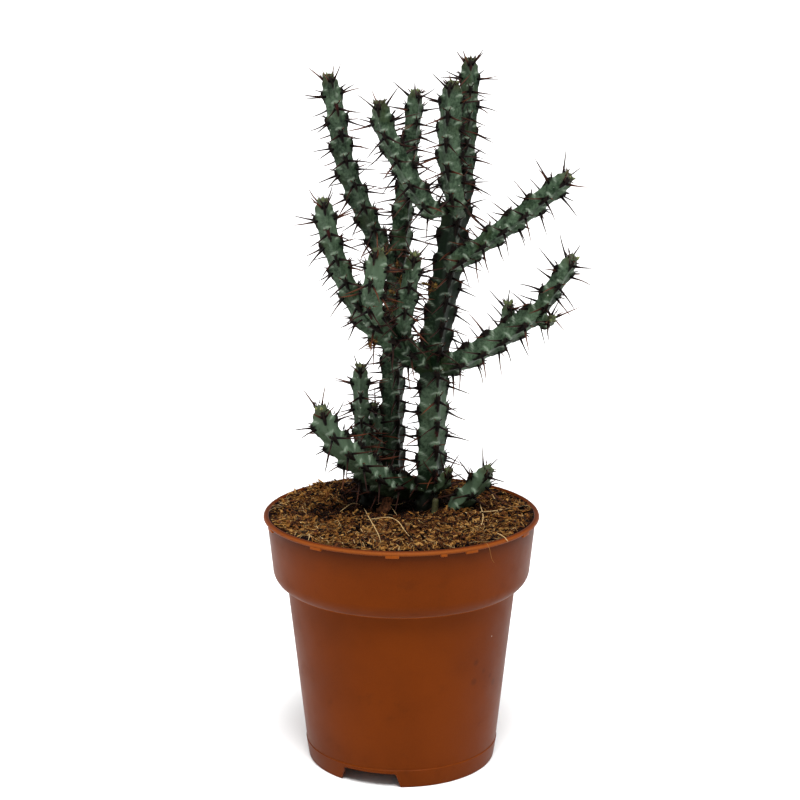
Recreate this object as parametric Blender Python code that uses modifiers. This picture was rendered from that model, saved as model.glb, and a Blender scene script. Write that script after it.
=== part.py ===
"""Potted euphorbia: a branching four-ribbed spiny stem group, its soil and its nursery pot.

Lengths in this file are in millimetres from the pot's axis on the surface it stands on, +X to the
right, -Y to the front and +Z up. The finished pieces are in metres, shifted so that the origin lies
under the middle of the whole object.
"""

import math
import random
from dataclasses import dataclass

import bmesh
import bpy
from mathutils import Matrix, Vector

MM = 0.001
SEED = 7

# Where the pot's axis lies from the origin: the branches reach further right than left.
POT_AXIS_X = -9.1

# Pot, by radius and height
POT_HEIGHT = 99.0
POT_STEPS = 44
LIP_RADIUS = 53.5
LIP_HEIGHT = 2.0
LIP_ROUND = 0.7
LIP_UNDERCUT = 0.2
WALL = 1.2
COLLAR_TOP_RADIUS = 52.1
COLLAR_FOOT_RADIUS = 49.9
COLLAR_FOOT_Z = 71.2
SHOULDER_ROUND = 4.8
BODY_TOP_RADIUS = 44.6
BODY_TOP_Z = 71.0
FOOT_RADIUS = 36.8
FOOT_WALL = 2.0
FOOT_EDGE = 0.4
FLOOR_Z = 7.2
FLOOR_THICKNESS = 1.4
FLOOR_CORNER = 1.5
INNER_SHOULDER = (2.6, 0.6)
DRAIN_HOLES = 6
DRAIN_RADIUS = 3.0
DRAIN_SIDES = 12
DRAIN_CIRCLE = 25.0

# Notches through the foot ring, by their middle's angle round the pot from the front
NOTCH_ANGLES = (-19.5, 100.5, 220.5)
NOTCH_WIDTH = 23.0
NOTCH_HEIGHT = 5.8
NOTCH_TOP_SHARE = 0.86
NOTCH_DEPTH = 14.0

# Soil
GAP = 0.3
SOIL_EDGE_Z = 98.2
SOIL_CROWN_Z = 95.8
SOIL_STEPS = 32
SOIL_RINGS = 6
SOIL_ROUGHNESS = 0.5
HOLE_DEPTH = 15.5
HOLE_SIDES = 8

# Stems: ribs, their teeth and the spines on them
RIBS = 4
VALLEY_SHARE = 0.69
TOOTH_PITCH = 10.0
TOOTH_HEIGHT = 0.8
RIB_DIP = 0.45
TIP_SHARE = 0.62
TIP_LENGTH = 1.2
ROOT_ROUND_LENGTH = 2.0
SPINE_SIDES = 3
SPINE_RADIUS = 0.52
SPINE_ROOT = 1.6
SPINE_ASIDE = 0.7
SPINE_BELOW = 0.8
SPINE_LENGTHS = (7.0, 9.4)
SPINE_SPREAD = 43.0
SPINE_DROOP = 12.0
SPINE_TIP_RISE = 42.0
TIP_CLOSING = 0.4
SPINE_STRAY = 8.0
SPINE_CLEARANCE = 0.45
BEND_STEP = 14.0
BEND_TRIES = 5


@dataclass(frozen=True)
class Stem:
    """One stem or branch: route points are (x, y, z, rib radius). Phase turns the first rib to
    the right of the front at the lower end, and twist adds to it up to the tip, in degrees."""

    route: tuple
    phase: float = 0.0
    twist: float = 0.0
    rooted: bool = False


@dataclass(frozen=True)
class Plant:
    """One rooted piece: its node name, its colour and its stems, the rooted one first."""

    name: str
    colour: tuple
    stems: tuple


GREEN = (0.045, 0.085, 0.052)
PALE_GREEN = (0.075, 0.125, 0.095)

MAIN_STEM = Stem(
    ((10, 17.5, 82, 4.6), (10, 17.5, 97.5, 5.0), (11.5, 17.5, 110.5, 5.9), (12.5, 17, 139, 6.0),
     (12.5, 16.5, 151.5, 6.0), (14, 16, 167.5, 6.2), (18.5, 14.5, 196, 5.8), (20, 14, 208.5, 5.6),
     (22.5, 14.5, 220, 4.9), (24, 16, 237, 4.3), (25.5, 18, 254, 3.8), (26, 20, 270.5, 3.5)),
    phase=24, twist=-20, rooted=True)
FRONT_TOP = Stem(
    ((21.5, 13, 212, 3.0), (20.5, 6.5, 218, 4.2), (19, 5, 227, 4.7), (18, 5, 238, 4.8),
     (18.5, 5, 251, 4.7), (19, 6, 262.5, 4.2)),
    phase=-17)
LEANING_TOP = Stem(
    ((16.5, 11, 215, 3.0), (11.5, 3, 216, 4.0), (7, 0, 221.5, 4.3), (1.5, -3, 231, 4.3),
     (-3, -4, 239.5, 4.2), (-6.5, -5, 248, 4.1), (-8, -5, 256, 3.8)),
    phase=-14)
UPPER_RIGHT = Stem(
    ((18, 14, 192, 3.6), (21.5, 9, 195.5, 4.4), (26, 8, 199, 4.5), (30.5, 7, 202, 3.9),
     (37.5, 6, 207.5, 4.2), (49.5, 4, 217, 4.2), (62.5, 1, 228.5, 3.9)),
    phase=8)
LOWER_RIGHT = Stem(
    ((12.5, 16.5, 152, 4.5), (19, 14, 154.5, 5.1), (26.5, 12, 158, 5.2), (38, 8, 166, 5.2),
     (47.5, 5.5, 173.5, 5.1), (53, 4, 178, 4.0), (57, 3, 185, 3.9), (64.5, 0, 198, 3.7)),
    phase=15)
BUD_ABOVE = Stem(((42, 8, 170.5, 2.5), (41, 7, 175.5, 3.2), (41, 6.5, 179.5, 2.6)), phase=20)
BUD_IN_FRONT = Stem(((52, 5, 174.5, 2.5), (55, 0, 174, 3.0), (57, -4, 175.5, 2.4)))
BIG_LEFT = Stem(
    ((10.5, 16, 153, 4.6), (5, 10, 158.5, 5.1), (-0.5, 5, 163.5, 5.3), (-6.5, 1, 169, 5.3),
     (-13, -3, 175, 4.8), (-18, -5, 183.5, 4.1), (-22.5, -6, 193.5, 4.0), (-27, -8, 208, 4.0),
     (-29, -9, 220.5, 3.8)),
    phase=5)
LEFT_OFFSET = Stem(
    ((-9, -1, 172.5, 3.0), (-10.5, -8, 179, 4.2), (-11, -10.5, 185, 4.6), (-9.5, -12.5, 194.5, 4.4),
     (-8.5, -13, 202.5, 4.0)),
    phase=-18)
RIGHT_OFFSET = Stem(
    ((1.5, 5, 165, 3.0), (1, -2, 173, 3.5), (2, -4, 182, 3.7), (3.5, -5, 191, 3.5),
     (5, -6, 200, 3.2)))
LOW_LEFT = Stem(
    ((7.5, 17.5, 102.5, 4.0), (1, 15, 104.5, 5.2), (-5.5, 11, 107, 5.6), (-12.5, 6, 113.5, 5.6),
     (-20, 0, 121.5, 5.4), (-25, -5, 128, 5.0), (-29, -8.5, 135.5, 4.6), (-30.5, -10.5, 142, 4.2)),
    phase=12)
LOW_SHOOT = Stem(((12, 16, 103, 2.4), (16.5, 11, 107.5, 3.0), (18.5, 9.5, 112.5, 2.8)), phase=10)
REAR_STEM = Stem(
    ((-3.5, 33, 82, 4.4), (-3.5, 33, 97.5, 4.8), (-3.5, 33.5, 110.5, 5.2), (-3.5, 34, 153.5, 5.1),
     (-2.5, 34, 176, 5.0), (-0.5, 34, 198, 4.7), (1, 35, 215.5, 4.4), (3.5, 37, 236.5, 3.9),
     (5.5, 38, 257.5, 3.6)),
    phase=27, rooted=True)
REAR_BRANCH = Stem(
    ((-2.5, 33, 185, 3.4), (-6.5, 30, 194.5, 4.1), (-12, 26, 206.5, 4.3), (-18, 22, 221, 4.3),
     (-22, 19, 233, 4.2), (-25.5, 17, 254.5, 3.9), (-27.5, 17, 264.5, 3.6)),
    phase=15)
SMALL_STEM = Stem(
    ((-13.5, 18.5, 82, 2.8), (-13.5, 18.5, 97.5, 3.1), (-14.5, 18, 112.5, 3.5),
     (-15.5, 18, 126, 3.5), (-16, 18, 142, 3.5), (-16, 18, 152.5, 3.2)),
    rooted=True)
SMALL_SHOOT = Stem(
    ((-13.5, 19, 107, 2.2), (-10.5, 24, 115, 2.8), (-10, 26.5, 125, 2.9), (-11, 27, 134.5, 2.5)),
    phase=10)
LOW_RIGHT = Stem(
    ((21.5, 11, 82, 3.2), (21.5, 11, 97.5, 3.8), (24.5, 9.5, 101.5, 4.3), (27.5, 8, 105, 4.4),
     (31, 6, 110, 4.2), (34, 5, 114.5, 3.8)),
    phase=10, rooted=True)

PLANTS = (
    Plant("stem_main", GREEN,
          (MAIN_STEM, FRONT_TOP, LEANING_TOP, UPPER_RIGHT, LOWER_RIGHT, BUD_ABOVE, BUD_IN_FRONT,
           BIG_LEFT, LEFT_OFFSET, RIGHT_OFFSET, LOW_LEFT, LOW_SHOOT)),
    Plant("stem_rear", GREEN, (REAR_STEM, REAR_BRANCH)),
    Plant("stem_small", PALE_GREEN, (SMALL_STEM, SMALL_SHOOT)),
    Plant("stem_low_right", PALE_GREEN, (LOW_RIGHT,)),
)


# ---------------------------------------------------------------- scene helpers

def clear_scene():
    """Remove every object of the open scene."""
    for found in list(bpy.data.objects):
        bpy.data.objects.remove(found, do_unlink=True)


def new_collection(name):
    """Link a new collection to the scene."""
    group = bpy.data.collections.new(name)
    bpy.context.scene.collection.children.link(group)
    return group


def paint(piece, name, colour, roughness):
    """Give a piece its own plain Principled material."""
    material = bpy.data.materials.new(name)
    material.use_nodes = True
    shader = material.node_tree.nodes["Principled BSDF"]
    shader.inputs["Base Color"].default_value = (*colour, 1.0)
    shader.inputs["Roughness"].default_value = roughness
    shader.inputs["Metallic"].default_value = 0.0
    piece.data.materials.clear()
    piece.data.materials.append(material)


def add_object(group, name, bm):
    """Turn a bmesh, in millimetres from the pot's axis, into an object in metres."""
    bmesh.ops.translate(bm, verts=bm.verts, vec=(POT_AXIS_X, 0, 0))
    bmesh.ops.scale(bm, verts=bm.verts, vec=(MM, MM, MM))
    mesh = bpy.data.meshes.new(name)
    bm.to_mesh(mesh)
    bm.free()
    piece = bpy.data.objects.new(name, mesh)
    group.objects.link(piece)
    return piece


def apply_modifiers(piece):
    """Replace a piece's mesh by its evaluated one."""
    graph = bpy.context.evaluated_depsgraph_get()
    mesh = bpy.data.meshes.new_from_object(piece.evaluated_get(graph))
    piece.modifiers.clear()
    piece.data = mesh


def add_boolean(piece, cutters, operation, solver="EXACT"):
    """Cut a piece by a collection, or join the collection to it, and apply."""
    boolean = piece.modifiers.new(operation.title(), "BOOLEAN")
    boolean.operation = operation
    boolean.operand_type = "COLLECTION"
    boolean.collection = cutters
    boolean.solver = solver
    apply_modifiers(piece)


def hide_cutter(cutter):
    """Keep a cutter out of renders and show it as wire."""
    cutter.hide_render = True
    cutter.display_type = "WIRE"


# ---------------------------------------------------------------- pot

def arc(centre, radius, start, end, steps):
    """Points on an arc in the (radius, height) plane, with angles in degrees from +radius."""
    points = []
    for step in range(steps + 1):
        angle = math.radians(start + (end - start) * step / steps)
        points.append((centre[0] + radius * math.cos(angle), centre[1] + radius * math.sin(angle)))
    return points


def body_radius(z):
    """Outer radius of the tapered body at a height."""
    return FOOT_RADIUS + (BODY_TOP_RADIUS - FOOT_RADIUS) * z / BODY_TOP_Z


def inner_profile():
    """The pot's inner wall from the floor's middle out and up to the lip."""
    floor_top = FLOOR_Z + FLOOR_THICKNESS
    return [
        (0.0, floor_top),
        (body_radius(floor_top) - WALL - FLOOR_CORNER, floor_top),
        (body_radius(floor_top + FLOOR_CORNER) - WALL, floor_top + FLOOR_CORNER),
        (BODY_TOP_RADIUS - WALL, BODY_TOP_Z + WALL),
        (COLLAR_FOOT_RADIUS - WALL - INNER_SHOULDER[0], COLLAR_FOOT_Z + WALL + INNER_SHOULDER[1]),
        (COLLAR_FOOT_RADIUS - WALL, COLLAR_FOOT_Z + SHOULDER_ROUND),
        (COLLAR_TOP_RADIUS - WALL, POT_HEIGHT - LIP_ROUND),
    ]


def outer_profile():
    """The pot's outside from the lip's top down to the floor's underside."""
    lip_foot = POT_HEIGHT - LIP_HEIGHT
    points = [(COLLAR_TOP_RADIUS - WALL + LIP_ROUND, POT_HEIGHT)]
    points += arc((LIP_RADIUS - LIP_ROUND, POT_HEIGHT - LIP_ROUND), LIP_ROUND, 90, 0, 2)
    points += [(LIP_RADIUS - LIP_UNDERCUT, lip_foot), (COLLAR_TOP_RADIUS, lip_foot)]
    shoulder = (COLLAR_FOOT_RADIUS - SHOULDER_ROUND, COLLAR_FOOT_Z + SHOULDER_ROUND)
    points += arc(shoulder, SHOULDER_ROUND, 0, -84, 4)
    points += [
        (BODY_TOP_RADIUS, BODY_TOP_Z),
        (body_radius(FLOOR_Z), FLOOR_Z),
        (FOOT_RADIUS, FOOT_EDGE),
        (FOOT_RADIUS - FOOT_EDGE, 0.0),
        (FOOT_RADIUS - FOOT_WALL, 0.0),
        (body_radius(FLOOR_Z) - FOOT_WALL, FLOOR_Z),
        (0.0, FLOOR_Z),
    ]
    return points


def turned(group, name, profile, steps):
    """Turn an open profile of (radius, height) points round the pot's axis."""
    bm = bmesh.new()
    verts = [bm.verts.new((radius, 0.0, z)) for radius, z in profile]
    for first, second in zip(verts, verts[1:]):
        bm.edges.new((first, second))
    bmesh.ops.scale(bm, verts=bm.verts, vec=(MM, MM, MM))
    mesh = bpy.data.meshes.new(name)
    bm.to_mesh(mesh)
    bm.free()
    piece = bpy.data.objects.new(name, mesh)
    group.objects.link(piece)
    screw = piece.modifiers.new("Turn", "SCREW")
    screw.steps = steps
    screw.render_steps = steps
    screw.use_merge_vertices = True
    screw.merge_threshold = 0.00005
    apply_modifiers(piece)
    piece.location.x = POT_AXIS_X * MM
    return piece


def notch_cutter(group, angle):
    """A block through the foot ring, narrower at its top."""
    bm = bmesh.new()
    size = (NOTCH_WIDTH, NOTCH_DEPTH, 2 * NOTCH_HEIGHT)
    bmesh.ops.create_cube(bm, size=1.0, matrix=Matrix.Diagonal((*size, 1.0)))
    for vert in bm.verts:
        if vert.co.z > 0:
            vert.co.x *= NOTCH_TOP_SHARE
        else:
            vert.co.x *= 2 - NOTCH_TOP_SHARE
    turn = Matrix.Rotation(math.radians(angle), 4, "Z")
    middle = Matrix.Translation((0, FOOT_WALL / 2 - FOOT_RADIUS, 0))
    bmesh.ops.transform(bm, verts=bm.verts, matrix=turn @ middle)
    cutter = add_object(group, "notch_cutter", bm)
    hide_cutter(cutter)


def drain_cutter(group, x, y):
    """A round cutter through the floor."""
    bm = bmesh.new()
    bmesh.ops.create_cone(bm, cap_ends=True, segments=DRAIN_SIDES, radius1=DRAIN_RADIUS,
                          radius2=DRAIN_RADIUS, depth=6 * FLOOR_THICKNESS,
                          matrix=Matrix.Translation((x, y, FLOOR_Z)))
    cutter = add_object(group, "drain_cutter", bm)
    hide_cutter(cutter)


def build_pot(group):
    """The nursery pot with its foot notches and drain holes."""
    pot = turned(group, "pot", inner_profile() + outer_profile(), POT_STEPS)
    cutters = new_collection("pot_cutters")
    for angle in NOTCH_ANGLES:
        notch_cutter(cutters, angle)
    drain_cutter(cutters, 0.0, 0.0)
    for hole in range(DRAIN_HOLES):
        turn = math.tau * (hole + 0.5) / DRAIN_HOLES
        drain_cutter(cutters, DRAIN_CIRCLE * math.cos(turn), DRAIN_CIRCLE * math.sin(turn))
    add_boolean(pot, cutters, "DIFFERENCE")
    pot.data.shade_smooth()
    pot.data.set_sharp_from_angle(angle=math.radians(35))
    paint(pot, "terracotta_plastic", (0.19, 0.048, 0.012), 0.42)


# ---------------------------------------------------------------- soil

def soil_profile():
    """The plug from its crown out to the wall and down, a gap inside the pot."""
    inner = inner_profile()
    (foot_radius, foot_z), (top_radius, top_z) = inner[-2:]
    widening = (top_radius - foot_radius) / (top_z - foot_z)
    edge_radius = foot_radius + widening * (SOIL_EDGE_Z - foot_z) - GAP
    points = []
    for ring in range(SOIL_RINGS):
        share = ring / SOIL_RINGS
        rise = (SOIL_EDGE_Z - SOIL_CROWN_Z) * share ** 2
        points.append((edge_radius * share, SOIL_CROWN_Z + rise))
    points.append((edge_radius, SOIL_EDGE_Z - 2 * GAP))
    points += [(radius - GAP, z + GAP) for radius, z in reversed(inner[1:-1])]
    return points + [(0.0, inner[0][1] + GAP)]


def roughen(piece, rng):
    """Lift and sink the points of the soil's top, away from the wall."""
    inside = COLLAR_FOOT_RADIUS - 2 * WALL
    for vert in piece.data.vertices:
        radius = math.hypot(vert.co.x, vert.co.y) / MM
        if vert.co.z / MM > SOIL_CROWN_Z - GAP and radius < inside:
            vert.co.z += rng.uniform(-SOIL_ROUGHNESS, SOIL_ROUGHNESS) * MM


def hole_cutter(group, stem):
    """A plain round hole for a rooted stem, a gap wider than its foot."""
    x, y, _, radius = stem.route[0]
    _, _, top, top_radius = stem.route[1]
    bm = bmesh.new()
    depth = 2 * HOLE_DEPTH
    middle = top - HOLE_DEPTH - GAP + depth / 2
    wide = (max(radius, top_radius) + GAP) / math.cos(math.pi / HOLE_SIDES)
    bmesh.ops.create_cone(bm, cap_ends=True, segments=HOLE_SIDES, radius1=wide, radius2=wide,
                          depth=depth, matrix=Matrix.Translation((x, y, middle)))
    cutter = add_object(group, "hole_cutter", bm)
    hide_cutter(cutter)


def build_soil(group):
    """The soil plug with a rough top and a hole for each rooted stem."""
    soil = turned(group, "soil", soil_profile(), SOIL_STEPS)
    roughen(soil, random.Random(SEED))
    cutters = new_collection("soil_cutters")
    for plant in PLANTS:
        hole_cutter(cutters, plant.stems[0])
    add_boolean(soil, cutters, "DIFFERENCE")
    paint(soil, "coir_soil", (0.13, 0.07, 0.035), 0.95)


# ---------------------------------------------------------------- stems

class Course:
    """A smooth course through a stem's route points, with its ribs' directions."""

    def __init__(self, stem):
        self.stem = stem
        self.samples = self.sampled(stem.route)
        self.lengths = [0.0]
        for first, second in zip(self.samples, self.samples[1:]):
            self.lengths.append(self.lengths[-1] + (second[0] - first[0]).length)
        self.length = self.lengths[-1]

    @staticmethod
    def sampled(route, steps=12):
        """Catmull-Rom points (place, rib radius) through the route."""
        points = [Vector(point) for point in route]
        points.insert(0, 2 * points[0] - points[1])
        points.append(2 * points[-1] - points[-2])
        samples = []
        for index in range(1, len(points) - 2):
            p0, p1, p2, p3 = points[index - 1:index + 3]
            for step in range(steps):
                t = step / steps
                point = 0.5 * (2 * p1 + (p2 - p0) * t + (2 * p0 - 5 * p1 + 4 * p2 - p3) * t ** 2
                               + (3 * p1 - p0 - 3 * p2 + p3) * t ** 3)
                samples.append((point.to_3d(), point.w))
        samples.append((points[-2].to_3d(), points[-2].w))
        return samples

    def at(self, distance):
        """Place and rib radius at a distance along the course."""
        distance = min(max(distance, 0.0), self.length)
        index = 1
        while index < len(self.lengths) - 1 and self.lengths[index] < distance:
            index += 1
        share = (distance - self.lengths[index - 1]) / (self.lengths[index] - self.lengths[index - 1])
        before, after = self.samples[index - 1], self.samples[index]
        return before[0].lerp(after[0], share), before[1] + (after[1] - before[1]) * share

    def along(self, distance):
        """Unit direction of growth at a distance."""
        return (self.at(distance + 1.0)[0] - self.at(distance - 1.0)[0]).normalized()

    def outward(self, distance, angle):
        """Unit direction square to the course, turned by an angle in degrees from the front."""
        along = self.along(distance)
        front = Vector((0, -1, 0))
        front = (front - along * front.dot(along)).normalized()
        side = along.cross(front)
        turn = math.radians(self.stem.phase + self.stem.twist * distance / self.length + angle)
        return math.cos(turn) * front + math.sin(turn) * side

    def bare_length(self):
        """Length at the lower end that has no teeth: the root, or the part inside the parent."""
        if self.stem.rooted:
            return HOLE_DEPTH + ROOT_ROUND_LENGTH
        return self.stem.route[0][3] + ROOT_ROUND_LENGTH

    def teeth(self):
        """Every level of teeth as (distance, parity), an opposite pair of ribs at a time."""
        half = TOOTH_PITCH / 2
        top = self.length - TIP_LENGTH
        count = int((top - self.bare_length()) / half) + 1
        return [(top - half * level, level % 2) for level in reversed(range(count))]


def ring_radii(radius, parity):
    """Radii of one ring's points, rib then valley: two ribs swell to teeth and two dip."""
    radii = []
    for rib in range(RIBS):
        radii.append(radius + (TOOTH_HEIGHT if rib % 2 == parity else -RIB_DIP))
        radii.append(radius * VALLEY_SHARE)
    return radii


def stem_rings(course):
    """Rings of a stem as (distance, radii), from its lower end to its tip."""
    rings = []
    if course.stem.rooted:
        for distance in (0.0, HOLE_DEPTH):
            rings.append((distance, [course.at(distance)[1]] * (2 * RIBS)))
    else:
        rings.append((0.0, [course.at(0.0)[1] * VALLEY_SHARE] * (2 * RIBS)))
    for distance, parity in course.teeth():
        rings.append((distance, ring_radii(course.at(distance)[1], parity)))
    rings.append((course.length, [course.at(course.length)[1] * TIP_SHARE] * (2 * RIBS)))
    return rings


def stem_body(group, name, course):
    """One closed ribbed stem: a grid rolled into a tube whose rows are the rings."""
    rings = stem_rings(course)
    columns = 2 * RIBS
    bm = bmesh.new()
    bmesh.ops.create_grid(bm, x_segments=columns, y_segments=len(rings) - 1, size=0.5)
    for vert in bm.verts:
        column = round((vert.co.x + 0.5) * columns) % columns
        distance, radii = rings[round((vert.co.y + 0.5) * (len(rings) - 1))]
        outward = course.outward(distance, 360 * column / columns)
        vert.co = course.at(distance)[0] + outward * radii[column]
    bmesh.ops.remove_doubles(bm, verts=bm.verts, dist=0.001)
    bmesh.ops.holes_fill(bm, edges=[edge for edge in bm.edges if edge.is_boundary], sides=columns)
    bmesh.ops.triangulate(bm, faces=bm.faces)
    bmesh.ops.recalc_face_normals(bm, faces=bm.faces)
    return add_object(group, name, bm)


# ---------------------------------------------------------------- spines

@dataclass(frozen=True)
class Capsule:
    """A straight stretch of a stem or a spine that other pieces keep clear of."""

    start: Vector
    end: Vector
    radius: float
    plant: str


def segment_distance(a0, a1, b0, b1):
    """Shortest distance between two straight segments."""
    a, b, between = a1 - a0, b1 - b0, a0 - b0
    aa, bb, ab = a.dot(a), b.dot(b), a.dot(b)
    af, bf = a.dot(between), b.dot(between)
    spread = aa * bb - ab * ab
    s = 0.0
    if spread > 1e-9:
        s = min(max((ab * bf - af * bb) / spread, 0.0), 1.0)
    t = (ab * s + bf) / bb
    if t < 0.0 or t > 1.0:
        t = min(max(t, 0.0), 1.0)
        s = min(max((ab * t - af) / aa, 0.0), 1.0)
    return (a0 + a * s - b0 - b * t).length


def stem_capsules(plant, course):
    """The stem as a chain of capsules."""
    capsules = []
    steps = max(int(2 * course.length / TOOTH_PITCH), 1)
    for step in range(steps):
        start, radius = course.at(course.length * step / steps)
        end = course.at(course.length * (step + 1) / steps)[0]
        capsules.append(Capsule(start, end, radius + TOOTH_HEIGHT, plant.name))
    return capsules


def is_clear(spine, capsules, plant):
    """Whether a spine keeps off the soil and every other plant."""
    start, end = spine
    if end.z < SOIL_EDGE_Z + 2 * SPINE_CLEARANCE:
        return False
    for other in capsules:
        if other.plant == plant.name:
            continue
        room = other.radius + SPINE_RADIUS + SPINE_CLEARANCE
        if segment_distance(start, end, other.start, other.end) < room:
            return False
    return True


def spine_ends(course, distance, angle, side, bend, rng):
    """Root and tip of one spine of a pair, spread sideways and drooping, or rising at the tip."""
    place, radius = course.at(distance)
    along = course.along(distance)
    outward = course.outward(distance, angle)
    sideways = along.cross(outward) * side
    near_tip = max(0.0, 1.0 - (course.length - distance) / TOOTH_PITCH)
    lift = SPINE_TIP_RISE * near_tip - SPINE_DROOP * (1 - near_tip) + bend
    lift = math.radians(lift + rng.uniform(-SPINE_STRAY, SPINE_STRAY))
    spread = SPINE_SPREAD * (1 - TIP_CLOSING * near_tip)
    spread = math.radians(spread + rng.uniform(-SPINE_STRAY, SPINE_STRAY))
    flat = math.cos(spread) * outward + math.sin(spread) * sideways
    direction = math.cos(lift) * flat + math.sin(lift) * along
    root = (place + outward * (radius + TOOTH_HEIGHT - SPINE_ROOT) + sideways * SPINE_ASIDE
            - along * SPINE_BELOW)
    length = rng.uniform(*SPINE_LENGTHS) + SPINE_ROOT
    return root, root + direction * length


def plant_spines(plant, courses, capsules, rng):
    """Every spine of a plant, bent by steps until it is clear of the other plants."""
    spines = []
    for course in courses:
        for distance, parity in course.teeth():
            for rib in range(parity, RIBS, 2):
                for side in (-1, 1):
                    state = rng.getstate()
                    for attempt in range(BEND_TRIES):
                        rng.setstate(state)
                        bend = BEND_STEP * attempt
                        spine = spine_ends(course, distance, 360 * rib / RIBS, side, bend, rng)
                        if is_clear(spine, capsules, plant):
                            spines.append(spine)
                            break
    return spines


def spine_object(group, spine):
    """One three-sided needle."""
    root, tip = spine
    length = (tip - root).length
    bm = bmesh.new()
    bmesh.ops.create_cone(bm, cap_ends=True, segments=SPINE_SIDES, radius1=SPINE_RADIUS, radius2=0.0,
                          depth=length, matrix=Matrix.Translation((0, 0, length / 2)))
    bmesh.ops.remove_doubles(bm, verts=bm.verts, dist=0.001)
    turn = (tip - root).to_track_quat("Z", "X").to_matrix().to_4x4()
    bmesh.ops.transform(bm, verts=bm.verts, matrix=Matrix.Translation(root) @ turn)
    return add_object(group, "spine", bm)


def drop_scraps(piece):
    """Keep only the largest connected body of a joined piece."""
    bm = bmesh.new()
    bm.from_mesh(piece.data)
    unseen = set(bm.verts)
    islands = []
    while unseen:
        stack = [unseen.pop()]
        island = set(stack)
        while stack:
            for edge in stack.pop().link_edges:
                for vert in edge.verts:
                    if vert in unseen:
                        unseen.discard(vert)
                        island.add(vert)
                        stack.append(vert)
        islands.append(island)
    largest = max(islands, key=len)
    scraps = [vert for island in islands if island is not largest for vert in island]
    bmesh.ops.delete(bm, geom=scraps, context="VERTS")
    bm.to_mesh(piece.data)
    bm.free()


def build_plant(group, plant, courses, capsules, rng):
    """Join a plant's branches and spines to its rooted stem."""
    trunk = stem_body(group, plant.name, courses[0])
    repeats = new_collection(plant.name + "_repeats")
    for course in courses[1:]:
        stem_body(repeats, "branch", course)
    spines = plant_spines(plant, courses, capsules, rng)
    for spine in spines:
        spine_object(repeats, spine)
        capsules.append(Capsule(spine[0], spine[1], 0.0, plant.name))
    add_boolean(trunk, repeats, "UNION", "MANIFOLD")
    for repeat in list(repeats.objects):
        bpy.data.objects.remove(repeat, do_unlink=True)
    bpy.data.collections.remove(repeats)
    drop_scraps(trunk)
    paint(trunk, plant.name + "_skin", plant.colour, 0.6)


def main():
    """Build the pot, the soil and the plants."""
    clear_scene()
    group = new_collection("potted_euphorbia")
    build_pot(group)
    build_soil(group)
    courses = {plant.name: [Course(stem) for stem in plant.stems] for plant in PLANTS}
    capsules = []
    for plant in PLANTS:
        for course in courses[plant.name]:
            capsules += stem_capsules(plant, course)
    rng = random.Random(SEED)
    for plant in PLANTS:
        build_plant(group, plant, courses[plant.name], capsules, rng)


main()
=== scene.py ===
"""Potted euphorbia: spiny four-ribbed stems in coir soil, in a terracotta-coloured nursery pot.

Lengths are in millimetres from the pot's axis on the surface it stands on, +X to the right, -Y to
the front and +Z up. Each finished piece is stored in metres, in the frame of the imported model.
"""

import logging
import math
from collections.abc import Callable, Iterator, Sequence
from dataclasses import dataclass
from enum import Enum
from random import Random

import bmesh
import bpy
from bmesh.types import BMesh
from bpy.types import Material, Mesh, Node, NodeSocket, NodeTree, Object
from mathutils import Matrix, Vector, noise


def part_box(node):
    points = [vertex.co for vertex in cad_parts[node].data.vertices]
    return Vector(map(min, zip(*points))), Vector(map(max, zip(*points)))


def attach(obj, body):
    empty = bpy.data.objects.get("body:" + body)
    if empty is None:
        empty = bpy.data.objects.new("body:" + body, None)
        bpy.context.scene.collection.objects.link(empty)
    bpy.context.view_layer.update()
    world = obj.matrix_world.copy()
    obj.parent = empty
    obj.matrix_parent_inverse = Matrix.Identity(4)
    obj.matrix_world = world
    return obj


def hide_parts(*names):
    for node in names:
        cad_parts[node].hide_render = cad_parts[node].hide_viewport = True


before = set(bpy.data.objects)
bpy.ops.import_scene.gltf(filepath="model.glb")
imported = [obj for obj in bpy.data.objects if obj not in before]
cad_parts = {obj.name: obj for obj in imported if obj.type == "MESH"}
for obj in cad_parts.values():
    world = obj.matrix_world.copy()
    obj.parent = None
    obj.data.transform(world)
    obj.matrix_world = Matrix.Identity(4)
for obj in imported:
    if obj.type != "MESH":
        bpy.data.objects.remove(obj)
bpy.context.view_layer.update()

LOG = logging.getLogger("potted_euphorbia")
MM = 0.001
SEED = 7
BODY = "root"
MERGE = 0.001           # points nearer than this are one point
DUST_ROUGHNESS = 0.35   # of the faint sheen that dust gives a surface
RANGE = ("Value", "From Min", "From Max", "To Min", "To Max")  # inputs of a Map Range node

POT_LOW, POT_TOP = (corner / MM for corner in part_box("pot"))
AXIS_X = (POT_LOW.x + POT_TOP.x) / 2
POT_HEIGHT = POT_TOP.z
LIP_RADIUS = (POT_TOP.x - POT_LOW.x) / 2

Pair = tuple[float, float]
Triple = tuple[float, float, float]
Quad = tuple[float, float, float, float]
Keys = Sequence[Pair]


class Slot(Enum):
    """Material slot names, passed to finish_piece, which does not use them."""

    POT = "pot_plastic"
    SOIL = "coir_soil"
    SKIN = "stem_skin"


# ---------------------------------------------------------------- small helpers

def smoothstep(low: float, high: float, value: float) -> float:
    """Ease from 0 to 1 while a value goes from low to high."""
    share = min(max((value - low) / (high - low), 0.0), 1.0)
    return share * share * (3 - 2 * share)


def keyed(keys: Keys, value: float) -> float:
    """Read an eased curve through (position, height) keys.

    Args:
        keys: the curve's keys, in rising order.
        value: the position to read.

    Returns:
        The height there, held level past both ends.
    """
    for (start, low), (end, high) in zip(keys, keys[1:]):
        if value < end:
            return low + (high - low) * smoothstep(start, end, value)
    return keys[-1][1]


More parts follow.
